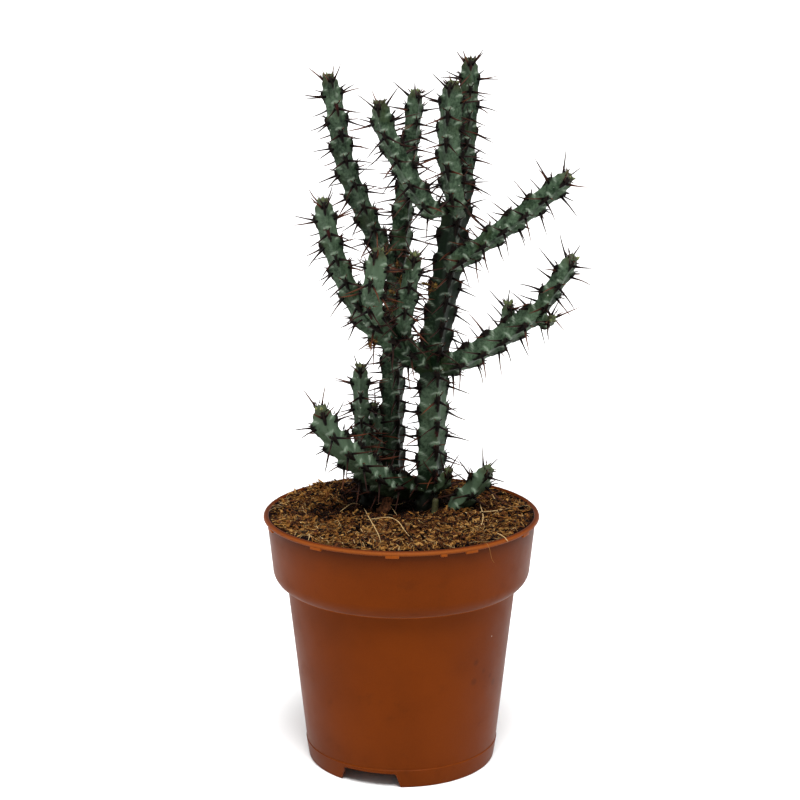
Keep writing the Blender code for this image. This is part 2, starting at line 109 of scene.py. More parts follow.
def uneven(point: Vector, size: float) -> float:
    """Fractal noise, about -1 to 1, whose largest lumps are about the given size."""
    return noise.fractal(point / size, 0.9, 2.1, 2)


def linear(hex_colour: str) -> Quad:
    """Turn an sRGB hex colour into the linear colour that shaders take.

    Args:
        hex_colour: six hex digits after a hash sign.

    Returns:
        Red, green, blue and an alpha of 1.
    """
    channels = []
    for start in (1, 3, 5):
        value = int(hex_colour[start:start + 2], 16) / 255
        channels.append(value / 12.92 if value <= 0.04045 else ((value + 0.055) / 1.055) ** 2.4)
    return (*channels, 1.0)


def add_node(tree: NodeTree, kind: str, inputs: dict | None = None,
             stops: Sequence[tuple[float, str]] = (), **settings: object) -> Node:
    """Add a shader node with its settings, values and links.

    Args:
        tree: the material's or world's node tree.
        kind: the node's type name.
        inputs: a value, or an output socket to link, by input name or number.
        stops: (position, sRGB hex) stops, for a colour ramp.
        **settings: the node's own properties.

    Returns:
        The new node.
    """
    node = tree.nodes.new(kind)
    for name, value in settings.items():
        setattr(node, name, value)
    for name, value in (inputs or {}).items():
        if isinstance(value, NodeSocket):
            tree.links.new(value, node.inputs[name])
        else:
            node.inputs[name].default_value = value
    for index, (position, hex_colour) in enumerate(stops):
        elements = node.color_ramp.elements
        element = elements[index] if index < 2 else elements.new(position)
        element.position = position
        element.color = linear(hex_colour)
    return node


def as_mesh(name: str, bm: BMesh) -> Mesh:
    """Store a bmesh as a mesh.

    Args:
        name: the mesh's name.
        bm: the bmesh, which is freed.

    Returns:
        The mesh.
    """
    mesh = bpy.data.meshes.new(name)
    bm.to_mesh(mesh)
    bm.free()
    return mesh


def as_object(name: str, bm: BMesh) -> Object:
    """Turn a bmesh in millimetres from the pot's axis into an unlinked object in metres.

    Args:
        name: the object's name.
        bm: the mesh, which is freed.

    Returns:
        The object, at the origin, unturned and unscaled.
    """
    bmesh.ops.translate(bm, verts=bm.verts, vec=(AXIS_X, 0, 0))
    bmesh.ops.scale(bm, verts=bm.verts, vec=(MM, MM, MM))
    return bpy.data.objects.new(name, as_mesh(name, bm))


def turned(outline: Sequence[Pair], steps: int) -> BMesh:
    """Turn an outline a full turn round the pot's axis and close its seam and poles.

    Args:
        outline: its (radius, height) points.
        steps: how many stretches a turn has.

    Returns:
        The closed shape.
    """
    bm = bmesh.new()
    verts = [bm.verts.new((radius, 0.0, z)) for radius, z in outline]
    edges = [bm.edges.new(pair) for pair in zip(verts, verts[1:])]
    bmesh.ops.spin(bm, geom=verts + edges, axis=(0, 0, 1), cent=(0, 0, 0),
                   steps=steps, angle=math.tau, use_merge=True)
    bmesh.ops.remove_doubles(bm, verts=bm.verts, dist=MERGE)
    bmesh.ops.recalc_face_normals(bm, faces=bm.faces)
    return bm


def finish_piece(piece: Object, material: Material, slot: Slot | None = None,
                 node: str | None = None, sharp: float = 80.0) -> None:
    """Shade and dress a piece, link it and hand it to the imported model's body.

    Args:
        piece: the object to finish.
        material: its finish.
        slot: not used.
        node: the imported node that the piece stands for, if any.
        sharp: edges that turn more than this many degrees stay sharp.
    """
    if piece.name not in bpy.context.scene.collection.objects:
        bpy.context.scene.collection.objects.link(piece)
    piece.data.materials.clear()
    piece.data.materials.append(material)
    piece.data.shade_smooth()
    piece.data.set_sharp_from_angle(angle=math.radians(sharp))
    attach(piece, BODY)
    if node is not None:
        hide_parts(node)
    LOG.info("%s: %d faces", piece.name, len(piece.data.polygons))


def combine(piece: Object, others: Sequence[Object], operation: str) -> None:
    """Join other closed objects to a piece, or cut them out of it, and remove them.

    Args:
        piece: the object that is changed.
        others: the objects that are joined or cut out.
        operation: UNION or DIFFERENCE.
    """
    scene = bpy.context.scene.collection
    scene.objects.link(piece)
    group = bpy.data.collections.new(piece.name + "_others")
    scene.children.link(group)
    for other in others:
        group.objects.link(other)
    boolean = piece.modifiers.new(operation.title(), "BOOLEAN")
    boolean.operation = operation
    boolean.operand_type = "COLLECTION"
    boolean.collection = group
    boolean.solver = "MANIFOLD"
    graph = bpy.context.evaluated_depsgraph_get()
    mesh = bpy.data.meshes.new_from_object(piece.evaluated_get(graph))
    piece.modifiers.clear()
    piece.data = mesh
    for other in others:
        bpy.data.objects.remove(other, do_unlink=True)
    bpy.data.collections.remove(group)


# ---------------------------------------------------------------- finishes

@dataclass(frozen=True)
class Finish:
    """A material's name and the values that every finish has."""

    name: str
    roughness: float
    ior: float = 1.5
    specular: float = 0.5
    dust: float = 0.0

    def start(self) -> tuple[Material, NodeTree, NodeSocket]:
        """Make the material with its plain shader values.

        Returns:
            The material, its node tree and the Object coordinates that its patterns read.
        """
        material = bpy.data.materials.new(self.name)
        material.use_nodes = True
        tree = material.node_tree
        for name, value in (("Roughness", self.roughness), ("IOR", self.ior), ("Metallic", 0.0),
                            ("Specular IOR Level", self.specular), ("Sheen Weight", self.dust),
                            ("Sheen Roughness", DUST_ROUGHNESS)):
            tree.nodes["Principled BSDF"].inputs[name].default_value = value
        return material, tree, add_node(tree, "ShaderNodeTexCoord").outputs["Object"]

    def connect(self, material: Material, sockets: dict[str, NodeSocket]) -> Material:
        """Link patterns to the shader.

        Args:
            material: the material.
            sockets: the output that feeds each named input of the shader.

        Returns:
            The finished material.
        """
        tree = material.node_tree
        for name, socket in sockets.items():
            tree.links.new(socket, tree.nodes["Principled BSDF"].inputs[name])
        return material


@dataclass(frozen=True)
class MouldedPolypropylene(Finish):
    """Injection-moulded polypropylene: an even terracotta colour, a satin skin with a fine grain
    from the mould, faint darker smudges from handling and a few pale nicks. Painted shade darkens
    the downward-facing shoulder above the collar's foot, the band under the lip and the lip's top
    edge, and a painted highlight makes the lip paler in front. Dark spots and nicks are (x, y, z,
    radius, strength), and the painted shade is a ramp over the height."""

    name: str = "moulded_polypropylene"
    roughness: float = 0.48
    ior: float = 1.49
    specular: float = 0.035
    dust: float = 0.085
    colour: str = "#622902"
    worn: str = "#5A2502"
    # Colour of the handling smudges and dark spots, and also of the painted shade.
    smudge_and_shade: str = "#3C1A08"
    lip_highlight: str = "#85491F"
    nick: str = "#D9C6B4"
    dark_spots: tuple[tuple[float, ...], ...] = (
        (28.1, -31.0, 48.4, 1.7, 0.4), (27.4, -30.6, 40.5, 2.0, 0.4),
        (35.2, -20.5, 36.6, 1.9, 0.35), (31.2, -27.2, 43.6, 1.3, 0.3),
        (33.8, -23.4, 40.2, 1.2, 0.3))
    nicks: tuple[tuple[float, ...], ...] = (
        (34.6, -26.2, 57.0, 0.5, 0.9), (35.4, -25.0, 55.4, 0.4, 0.7))
    # Painted shade by height: on the downward-facing shoulder above the collar's foot, in the band
    # under the lip and along the lip's top edge.
    grime: tuple[tuple[float, str], ...] = (
        (71.5, "#000000"), (71.9, "#8A8A8A"), (73.0, "#808080"), (75.2, "#000000"),
        (86.0, "#000000"), (91.0, "#6E6E6E"), (94.5, "#AAAAAA"), (96.7, "#E6E6E6"),
        (97.1, "#E6E6E6"), (97.3, "#000000"), (98.75, "#000000"), (98.9, "#D0D0D0"),
        (99.0, "#D0D0D0"))
    cloud_size: float = 30.0
    grain_size: float = 0.45
    smudge_size: float = 9.0
    nick_spacing: float = 24.0

    def build(self) -> Material:
        """Make the material.

        Returns:
            The finished material.
        """
        material, tree, where = self.start()
        cloud, smudges, grain = (
            add_node(tree, "ShaderNodeTexNoise", {
                "Vector": where, "Scale": 1 / (size * MM), "Detail": detail,
                "Roughness": rough}).outputs["Fac"]
            for size, detail, rough in ((self.cloud_size, 3.0, 0.5), (self.smudge_size, 4.0, 0.6),
                                        (self.grain_size, 2.0, 0.5)))
        cells = add_node(tree, "ShaderNodeTexVoronoi", {
            "Vector": where, "Scale": 1 / (self.nick_spacing * MM)})
        axes = add_node(tree, "ShaderNodeSeparateXYZ", {"Vector": where}).outputs
        low, high = self.grime[0][0], self.grime[-1][0]
        smudged, nicked, lip, level, speckle, satin = (
            add_node(tree, "ShaderNodeMapRange", dict(zip(RANGE, row))).outputs["Result"]
            for row in (
                (smudges, 0.6, 0.72, 0.0, 0.2),
                (cells.outputs["Distance"], 0.016, 0.01, 0.0, 0.8),
                (axes["Y"], -15 * MM, -48 * MM, 0.15, 0.6),
                (axes["Z"], low * MM, high * MM),
                (grain, 0.3, 0.7, 0.94, 1.06),
                (smudges, 0.3, 0.7, self.roughness - 0.05, self.roughness + 0.08)))

        # Painted highlight: the lip is paler in front, where the front light catches it, on its
        # outer edge and near its top.
        flat = add_node(tree, "ShaderNodeVectorMath", {0: where, 1: (1.0, 1.0, 0.0)},
                        operation="MULTIPLY")
        radius = add_node(tree, "ShaderNodeVectorMath", {
            0: flat.outputs["Vector"], 1: (AXIS_X * MM, 0, 0)}, operation="DISTANCE")
        for value, start, end in (
                (radius.outputs["Value"], LIP_RADIUS - 0.6, LIP_RADIUS - 0.15),
                (axes["Z"], POT_HEIGHT - 1.9, POT_HEIGHT - 0.9)):
            lip = add_node(tree, "ShaderNodeMapRange", {
                "Value": value, "From Min": start * MM, "From Max": end * MM,
                "To Max": lip}).outputs["Result"]

        layers = [(smudged, self.smudge_and_shade), (nicked, self.nick)]
        for spots, over in ((self.dark_spots, self.smudge_and_shade), (self.nicks, self.nick)):
            for x, y, z, size, share in spots:
                away = add_node(tree, "ShaderNodeVectorMath", {
                    0: where, 1: ((AXIS_X + x) * MM, y * MM, z * MM)}, operation="DISTANCE")
                row = (away.outputs["Value"], size * MM, 0.4 * size * MM, 0.0, share)
                spot = add_node(tree, "ShaderNodeMapRange", dict(zip(RANGE, row)))
                layers.append((spot.outputs["Result"], over))
        # Painted shade: the height ramp darkens the plastic towards the smudges' colour.
        under = add_node(tree, "ShaderNodeValToRGB", {"Fac": level}, stops=tuple(
            ((z - low) / (high - low), shade) for z, shade in self.grime))
        layers += [(under.outputs["Color"], self.smudge_and_shade), (lip, self.lip_highlight)]
        colour = add_node(tree, "ShaderNodeValToRGB", {"Fac": cloud},
                          stops=((0.35, self.worn), (0.6, self.colour))).outputs["Color"]
        for share, over in layers:
            colour = add_node(tree, "ShaderNodeMix", {0: share, 6: colour, 7: linear(over)},
                              data_type="RGBA").outputs[2]
        tinted = add_node(tree, "ShaderNodeMix", {0: 1.0, 6: colour, 7: speckle},
                          data_type="RGBA", blend_type="MULTIPLY")
        bump = add_node(tree, "ShaderNodeBump", {
            "Height": grain, "Strength": 0.12, "Distance": 0.05 * MM})
        return self.connect(material, {"Base Color": tinted.outputs[2], "Roughness": satin,
                                       "Normal": bump.outputs["Normal"]})


@dataclass(frozen=True)
class ShadedRamp(Finish):
    """A finish whose colour runs along a ramp: by the copy's own tone, with a fine mottle."""

    stops: tuple[tuple[float, str], ...] = ()
    mottle_size: float = 1.0
    mottle: float = 0.25
    bump: float = 0.3

    def build(self) -> Material:
        """Make the material.

        Returns:
            The finished material.
        """
        material, tree, where = self.start()
        tone = add_node(tree, "ShaderNodeAttribute", attribute_name="shade")
        split = add_node(tree, "ShaderNodeSeparateColor", {"Color": tone.outputs["Color"]})
        fine = add_node(tree, "ShaderNodeTexNoise", {
            "Vector": where, "Scale": 1 / (self.mottle_size * MM), "Detail": 3.0})
        row = (fine.outputs["Fac"], 0.3, 0.7, -self.mottle, self.mottle)
        spread = add_node(tree, "ShaderNodeMapRange", dict(zip(RANGE, row)))
        total = add_node(tree, "ShaderNodeMath", {
            0: split.outputs["Red"], 1: spread.outputs["Result"]}, operation="ADD")
        ramp = add_node(tree, "ShaderNodeValToRGB", {"Fac": total.outputs[0]}, stops=self.stops)
        bump = add_node(tree, "ShaderNodeBump", {
            "Height": fine.outputs["Fac"], "Strength": self.bump, "Distance": 0.2 * MM})
        return self.connect(material, {"Base Color": ramp.outputs["Color"],
                                       "Normal": bump.outputs["Normal"]})


# Peat and coir pith: damp and crumbly, coloured almost black, which also paints the shade in the
# gaps between the chips.
PEAT_AND_GAP_SHADE = ShadedRamp(
    "dark_peat_and_gap_shade", 0.95, specular=0.05,
    stops=((0.25, "#080303"), (0.55, "#1A0B07"), (0.8, "#381D0E")),
    mottle_size=1.8, mottle=0.3, bump=0.8)

# Coir chips: shredded coconut husk, from dark red-brown to dry golden brown.
COIR_CHIP = ShadedRamp(
    "shredded_coir", 0.9, specular=0.08,
    stops=((0.12, "#080403"), (0.34, "#25110A"), (0.52, "#4C2910"), (0.7, "#6E481C"),
           (1.0, "#8E6A3A")),
    mottle_size=0.9, mottle=0.2, bump=0.8)

# Coir fibres and dead roots: thin, dry and straw-coloured.
COIR_FIBRE = ShadedRamp(
    "coir_fibre", 0.75, specular=0.15,
    stops=((0.0, "#1E0E07"), (0.3, "#5A3014"), (0.6, "#805425"), (0.8, "#A07F4C"),
           (1.0, "#B89C70")),
    mottle_size=1.5, mottle=0.1, bump=0.1)

# Dead tissue: dried scraps and twigs, brown and rough.
DEAD_WOOD = ShadedRamp(
    "dried_plant_tissue", 0.85, specular=0.12,
    stops=((0.0, "#140C08"), (0.35, "#38200F"), (0.65, "#543A1A"), (1.0, "#74602E")),
    mottle_size=1.2, mottle=0.2, bump=0.8)

# Bark: a loose flake, red-brown and rough.
BARK = ShadedRamp(
    "loose_bark", 0.9, specular=0.08,
    stops=((0.0, "#120A07"), (0.5, "#382015"), (1.0, "#6A432C")),
    mottle_size=1.0, mottle=0.55, bump=1.0)

# Young growth: the soft scales at a growing point and an old stump's skin, olive green with
# brown edges.
YOUNG_SCALE = ShadedRamp(
    "young_scales", 0.6, specular=0.25,
    stops=((0.0, "#241A10"), (0.35, "#3A3A20"), (0.7, "#4E5A36"), (1.0, "#75764A")),
    mottle_size=0.8, mottle=0.2, bump=0.2)


@dataclass(frozen=True)
class SpineWood(Finish):
    """Hardened spine tissue: near black where it leaves its shield, dark red-brown along the
    needle, with some redder spines among them, and a dull polish."""

    name: str = "hardened_spine"
    roughness: float = 0.45
    specular: float = 0.08
    base: str = "#080505"
    needle: str = "#27120C"
    red: str = "#552D1B"
    point: str = "#38221A"

    def build(self) -> Material:
        """Make the material.

        Returns:
            The finished material.
        """
        material, tree, _ = self.start()
        tone = add_node(tree, "ShaderNodeAttribute", attribute_name="shade")
        split = add_node(tree, "ShaderNodeSeparateColor", {"Color": tone.outputs["Color"]}).outputs
        redness, out, end = (
            add_node(tree, "ShaderNodeMapRange", dict(zip(RANGE, row))).outputs["Result"]
            for row in ((split["Red"], 0.5, 1.0), (split["Green"], 0.12, 0.5),
                        (split["Green"], 0.75, 1.0, 0.0, 0.7)))
        along = add_node(tree, "ShaderNodeMix", {
            0: redness, 6: linear(self.needle), 7: linear(self.red)}, data_type="RGBA")
        colour = linear(self.base)
        for share, over in ((out, along.outputs[2]), (end, linear(self.point))):
            colour = add_node(tree, "ShaderNodeMix", {0: share, 6: colour, 7: over},
                              data_type="RGBA").outputs[2]
        return self.connect(material, {"Base Color": colour})


@dataclass(frozen=True)
class WaxySkin(Finish):
    """A succulent's waxy skin: dark green under a grey-green bloom of wax, mottled, with pale
    specks and rubbed patches. The marks attribute holds cork, ledge and youth in red, green and
    blue, and the amount of wax in alpha, which below zero mixes in near-black, partly dirt and
    partly painted shade at the stems' feet: cork gives the dark spine shields, ledge the pale leaf
    scars over them, whose paleness is partly a painted highlight on each ledge's lit top, and
    youth the olive growing tips."""

    name: str = "waxy_succulent_skin"
    roughness: float = 0.5
    ior: float = 1.45
    specular: float = 0.12
    bare: str = "#0D1D0E"
    wax: str = "#455743"
    olive: str = "#232D10"
    # Pale grey-green for rubbed patches, and for the ledges, where it is partly leaf scar and
    # partly a painted highlight on each ledge's lit top.
    scar: str = "#8C9A88"
    speck: str = "#9AA293"
    tip: str = "#31331D"
    cork_dark: str = "#060403"
    cork_brown: str = "#170D08"
    cork_red: str = "#2E0D0C"
    # Near-black where the wax falls below zero: partly dirt and partly painted shade at the stems'
    # feet.
    dirt_and_shade_colour: str = "#060503"
    cloud_size: float = 9.0
    mottle_size: float = 1.3
    speck_spacing: float = 4.5
    patch_size: float = 7.0

    def build(self) -> Material:
        """Make the material.

        Returns:
            The finished material.
        """
        material, tree, where = self.start()
        marks = add_node(tree, "ShaderNodeAttribute", attribute_name="marks").outputs
        split = add_node(tree, "ShaderNodeSeparateColor", {"Color": marks["Color"]}).outputs
        cells = add_node(tree, "ShaderNodeTexVoronoi", {
            "Vector": where, "Scale": 1 / (self.speck_spacing * MM)})
        cloud, mottle, patches = (
            add_node(tree, "ShaderNodeTexNoise", {
                "Vector": where, "Scale": 1 / (size * MM), "Detail": detail, "Roughness": rough,
                **layer}, noise_dimensions="4D" if layer else "3D").outputs["Fac"]
            for size, detail, rough, layer in (
                (self.cloud_size, 2.0, 0.5, {}), (self.mottle_size, 3.0, 0.65, {}),
                (self.patch_size, 3.0, 0.5, {"W": 3.0})))
        clouded, mottled, yellow, rubbed, dots, red, dirt_and_shade, dull = (
            add_node(tree, "ShaderNodeMapRange", dict(zip(RANGE, row))).outputs["Result"]
            for row in (
                (cloud, 0.3, 0.7, -0.5, 0.4),
                (mottle, 0.3, 0.7, -0.5, 0.42),
                (patches, 0.56, 0.7, 0.0, 0.55),
                (patches, 0.34, 0.27, 0.0, 0.7),
                (cells.outputs["Distance"], 0.075, 0.055, 0.0, 0.85),
                (cloud, 0.62, 0.7, 0.0, 0.8),
                (marks["Alpha"], 0.0, -1.0),
                (split["Red"], 0.0, 1.0, self.roughness, 0.8)))
        both = add_node(tree, "ShaderNodeMath", {0: clouded, 1: mottled}, operation="ADD")
        waxed = add_node(tree, "ShaderNodeMath", {0: marks["Alpha"], 1: both.outputs[0]},
                         operation="ADD", use_clamp=True)
        cork = add_node(tree, "ShaderNodeValToRGB", {"Fac": mottle},
                        stops=((0.42, self.cork_dark), (0.62, self.cork_brown)))
        corky = add_node(tree, "ShaderNodeMix", {
            0: red, 6: cork.outputs["Color"], 7: linear(self.cork_red)}, data_type="RGBA")
        colour = linear(self.bare)
        # Wax below zero mixes in near-black: partly dirt and partly painted shade at the stems'
        # feet.
        for share, over in (
                (waxed.outputs[0], linear(self.wax)), (yellow, linear(self.olive)),
                (rubbed, linear(self.scar)), (dots, linear(self.speck)),
                (split["Blue"], linear(self.tip)), (split["Green"], linear(self.scar)),
                (split["Red"], corky.outputs[2]), (dirt_and_shade, linear(self.dirt_and_shade_colour))):
            colour = add_node(tree, "ShaderNodeMix", {0: share, 6: colour, 7: over},
                              data_type="RGBA").outputs[2]
        bump = add_node(tree, "ShaderNodeBump", {
            "Height": mottle, "Strength": 0.35, "Distance": 0.25 * MM})
        return self.connect(material, {"Base Color": colour, "Roughness": dull,
                                       "Normal": bump.outputs["Normal"]})


# ---------------------------------------------------------------- copies of a small template

class Copies:
    """One mesh made of many copies of a small template, each put in place by a function."""

    def __init__(self, template: Mesh) -> None:
        """Start with no copies of the small closed mesh."""
        self.template = template
        self.bm = bmesh.new()
        self.shade = self.bm.verts.layers.float_color.new("shade")

    def add(self, place: Callable[[Vector], Vector], tone: float) -> None:
        """Add one copy.

        Args:
            place: gives a template point's place in the scene.
            tone: the copy's own tone, 0 to 1, stored with each point's height in the template.
        """
        first = len(self.bm.verts)
        self.bm.from_mesh(self.template)
        self.bm.verts.ensure_lookup_table()
        for vert in self.bm.verts[first:]:
            vert[self.shade] = (tone, vert.co.z, 0.0, 1.0)
            vert.co = place(vert.co.copy())

    def along(self, points: Sequence[Vector], radii: Keys, tone: float) -> None:
        """Add one copy of a unit tube, bent along a smooth path.

        Args:
            points: the places that the path goes through.
            radii: (share, radius) keys.
            tone: the copy's own tone, 0 to 1.
        """
        path = smooth_path(points)
        chord = (path(1.0) - path(0.0)).normalized()
        side = chord.orthogonal().normalized()
        other = chord.cross(side)
        rings: dict[float, tuple[Vector, float]] = {}

        def place(point: Vector) -> Vector:
            """Put a template point on the ring at its share of the path."""
            share = round(point.z, 4)
            if share not in rings:
                rings[share] = (path(share), keyed(radii, share))
            middle, radius = rings[share]
            return middle + (side * point.x + other * point.y) * radius

        self.add(place, tone)


def unit_tube(sides: int, steps: int) -> Mesh:
    """A closed tube of radius 1 from z = 0 to z = 1.

    Args:
        sides: faces round it.
        steps: rings of faces along it.

    Returns:
        The mesh.
    """
    bm = bmesh.new()
    bmesh.ops.create_cone(bm, cap_ends=True, cap_tris=False, segments=sides, radius1=1.0,
                          radius2=1.0, depth=1.0, matrix=Matrix.Translation((0, 0, 0.5)))
    upright = [edge for edge in bm.edges if abs(edge.verts[0].co.z - edge.verts[1].co.z) > 0.5]
    bmesh.ops.subdivide_edges(bm, edges=upright, cuts=steps - 1)
    return as_mesh("unit_tube", bm)


def unit_lump(subdivisions: int, jitter: float, rng: Random) -> Mesh:
    """An uneven lump about 1 across.

    Args:
        subdivisions: 0 for a block of six faces, 1 or more for a ball of triangles.
        jitter: how far its points stray.
        rng: the source of the draws.

    Returns:
        The mesh.
    """
    bm = bmesh.new()
    if subdivisions == 0:
        bmesh.ops.create_cube(bm, size=1.0)
    else:
        bmesh.ops.create_icosphere(bm, subdivisions=subdivisions, radius=0.5)
    for vert in bm.verts:
        vert.co += Vector(rng.uniform(-jitter, jitter) for _ in range(3))
    return as_mesh("unit_lump", bm)


def smooth_path(points: Sequence[Vector]) -> Callable[[float], Vector]:
    """A Catmull-Rom path through points.

    Args:
        points: the places it goes through, as vectors of any size.

    Returns:
        A function of the share from 0 to 1.
    """
    ends = [2 * points[0] - points[1], *points, 2 * points[-1] - points[-2]]

    def path(share: float) -> Vector:
        """The place at a share of the path."""
        spot = min(max(share, 0.0), 1.0) * (len(points) - 1)
        index = min(int(spot), len(points) - 2)
        t = spot - index
        p0, p1, p2, p3 = ends[index:index + 4]
        return 0.5 * (2 * p1 + (p2 - p0) * t + (2 * p0 - 5 * p1 + 4 * p2 - p3) * t ** 2
                      + (3 * p1 - p0 - 3 * p2 + p3) * t ** 3)

    return path


# ---------------------------------------------------------------- pot

@dataclass
class NurseryPot:
    """The thin-walled pot: lip, collar, shoulder, tapered body, raised floor and notched foot."""

    steps: int = 176
    wall: float = 1.2
    lip_height: float = 1.8
    collar_top: float = 52.1
    collar_foot: float = 49.9
    collar_foot_z: float = 71.2
    shoulder_round: float = 4.8
    shoulder_top: Pair = (50.07, 77.6)
    shoulder_sweep: Pair = (7.05, 7.0)
    body_top: float = 44.6
    body_top_z: float = 71.0
    foot: float = 36.8
    foot_wall: float = 2.0
    floor_z: float = 7.2
    floor_thickness: float = 1.4
    step: float = 0.28
    drain_holes: int = 6
    drain_sides: int = 28
    drain_radius: float = 3.0
    drain_circle: float = 25.0
    notch_angles: tuple[float, ...] = (-19.5, 100.5, 220.5)
    notch_width: float = 24.2
    notch_height: float = 5.8
    notch_top_share: float = 0.86
    notch_depth: float = 14.0
    notch_round: float = 0.6
    tabs: int = 11
    tab_turn: float = -3.6
    tab_size: Triple = (5.0, 1.3, 1.2)
    tab_round: float = 0.22
    tab_sunk: float = 0.1
    tab_drop: float = 2.0
    small_tab: Pair = (17.0, 2.4)
    bead: Triple = (46.0, 71.3, 0.24)

    def body_radius(self, z: float) -> float:
        """Outer radius of the tapered body at a height."""
        return self.foot + (self.body_top - self.foot) * z / self.body_top_z

    def arc(self, centre: Pair, radius: float, start: float, end: float, steps: int) -> list[Pair]:
        """Points on an arc in the (radius, height) plane.

        Args:
            centre: the arc's centre.
            radius: its radius.
            start: its first angle, in degrees from straight out.
            end: its last angle.
            steps: how many stretches it has.

        Returns:
            The points, first and last included.
        """
        turns = [math.radians(start + (end - start) * step / steps) for step in range(steps + 1)]
        return [(centre[0] + radius * math.cos(turn), centre[1] + radius * math.sin(turn))
                for turn in turns]

    def shoulder(self) -> list[Pair]:
        """The collar's lower edge, downwards: a stretch of an oval that ends before its foot."""
        top, sweep = self.shoulder_top, self.shoulder_sweep
        return [(top[0] - sweep[0] + sweep[0] * x, top[1] + sweep[1] * z)
                for x, z in self.arc((0.0, 0.0), 1.0, 0, -65, 12)]

    def inner_profile(self) -> list[Pair]:
        """The inside as (radius, height), from the floor's middle out and up to the lip."""
        floor_top = self.floor_z + self.floor_thickness
        return [
            (0.0, floor_top),
            (self.body_radius(floor_top) - self.wall - 1.5, floor_top),
            (self.body_radius(floor_top + 1.5) - self.wall, floor_top + 1.5),
            (self.body_top - self.wall, self.body_top_z + self.wall),
            (self.collar_foot - self.wall - 2.6, self.collar_foot_z + self.wall + 0.6),
            (self.collar_foot - self.wall, self.collar_foot_z + self.shoulder_round),
            (self.collar_top - self.wall, POT_HEIGHT - 4.0),
            (self.collar_top - self.wall + 0.5, POT_HEIGHT - 1.4),
            *self.arc((self.collar_top - self.wall + 1.4, POT_HEIGHT - 0.7), 0.7, 170, 95, 4),
        ]

    def outer_profile(self) -> list[Pair]:
        """The outside as (radius, height), from the lip's top down to the floor's underside."""
        lip_foot = POT_HEIGHT - self.lip_height
        ledge = self.body_radius(self.floor_z)
        return [
            *self.arc((LIP_RADIUS - 1.25, POT_HEIGHT - 1.25), 1.25, 90, 0, 8),
            *self.arc((LIP_RADIUS - 0.55, lip_foot + 0.45), 0.45, -10, -90, 4),
            (self.collar_top + 0.4, lip_foot + 0.02),
            (self.collar_top + 0.08, lip_foot - 0.12),
            (self.collar_top - 0.02, lip_foot - 0.5),
            *self.shoulder(),
            (self.body_top + 0.5, self.collar_foot_z + 0.02),
            (self.body_top + 0.34, self.collar_foot_z - 0.06),
            (self.body_top + 0.3, self.collar_foot_z - 0.34),
            (self.body_top + 0.02, self.body_top_z - 0.36),
            (self.body_radius(68.0), 68.0),
            (self.body_radius(40.0), 40.0),
            (ledge + 0.15, self.floor_z + 1.0),
            (ledge, self.floor_z + 0.25),
            (ledge + self.step, self.floor_z),
            (ledge + self.step - 0.05, self.floor_z - 0.4),
            (self.foot + 0.08, 0.9),
            *self.arc((self.foot - 0.5, 0.5), 0.5, -10, -90, 4),
            (self.foot - self.foot_wall, 0.0),
            (ledge - self.foot_wall, self.floor_z),
            (0.0, self.floor_z),
        ]

    def shell(self) -> Object:
        """The closed shell, not yet cut."""
        outline = self.inner_profile() + self.outer_profile()
        return as_object("pot_shell", turned(outline, self.steps))

    def notch_cutter(self, angle: float) -> Object:
        """A block through the foot ring, narrower at its top.

        Args:
            angle: its middle's angle from the front, in degrees.

        Returns:
            The cutter.
        """
        bm = bmesh.new()
        size = Matrix.Diagonal((self.notch_width, self.notch_depth, 2 * self.notch_height, 1.0))
        bmesh.ops.create_cube(bm, size=1.0, matrix=size)
        for vert in bm.verts:
            vert.co.x *= self.notch_top_share if vert.co.z > 0 else 2 - self.notch_top_share
        across = [edge for edge in bm.edges
                  if all(vert.co.z > 0 for vert in edge.verts)
                  and abs(edge.verts[0].co.y - edge.verts[1].co.y) > 1]
        bmesh.ops.bevel(bm, geom=across, offset=self.notch_round, offset_type="OFFSET",
                        affect="EDGES", segments=3, profile=0.5, material=-1)
        turn = Matrix.Rotation(math.radians(angle), 4, "Z")
        middle = Matrix.Translation((0, self.foot_wall / 2 - self.foot, 0))
        bmesh.ops.transform(bm, verts=bm.verts, matrix=turn @ middle)
        return as_object("notch_cutter", bm)

    def drain_cutter(self, x: float, y: float) -> Object:
        """A round cutter through the floor at a place."""
        bm = bmesh.new()
        bmesh.ops.create_cone(bm, cap_ends=True, segments=self.drain_sides,
                              radius1=self.drain_radius,
                              radius2=self.drain_radius, depth=6 * self.floor_thickness,
                              matrix=Matrix.Translation((x, y, self.floor_z)))
        return as_object("drain_cutter", bm)

    def collar_bead(self) -> Object:
        """The thin seam that the mould leaves round the collar's foot."""
        radius, z, thick = self.bead
        outline = self.arc((radius, z), thick, 0, 360, 8)
        return as_object("pot_collar_bead", turned(outline, self.steps))

    def lip_tabs(self) -> Object:
        """The short tabs that the mould leaves under the lip, all round, in one object."""
        bm = bmesh.new()
        width, depth, height = self.tab_size
        turns = [(self.tab_turn + 360 * tab / self.tabs, width) for tab in range(self.tabs)]
        for angle, width in turns + [self.small_tab]:
            turn = Matrix.Rotation(math.radians(angle), 4, "Z")
            middle = Matrix.Translation((0, depth / 2 - LIP_RADIUS + self.tab_sunk,
                                         POT_HEIGHT - self.tab_drop))
            size = Matrix.Diagonal((width, depth, height, 1.0))
            bmesh.ops.create_cube(bm, size=1.0, matrix=turn @ middle @ size)
        bmesh.ops.bevel(bm, geom=list(bm.edges), offset=self.tab_round, offset_type="OFFSET",
                        affect="EDGES", segments=2, profile=0.5, material=-1)
        return as_object("pot_lip_tabs", bm)

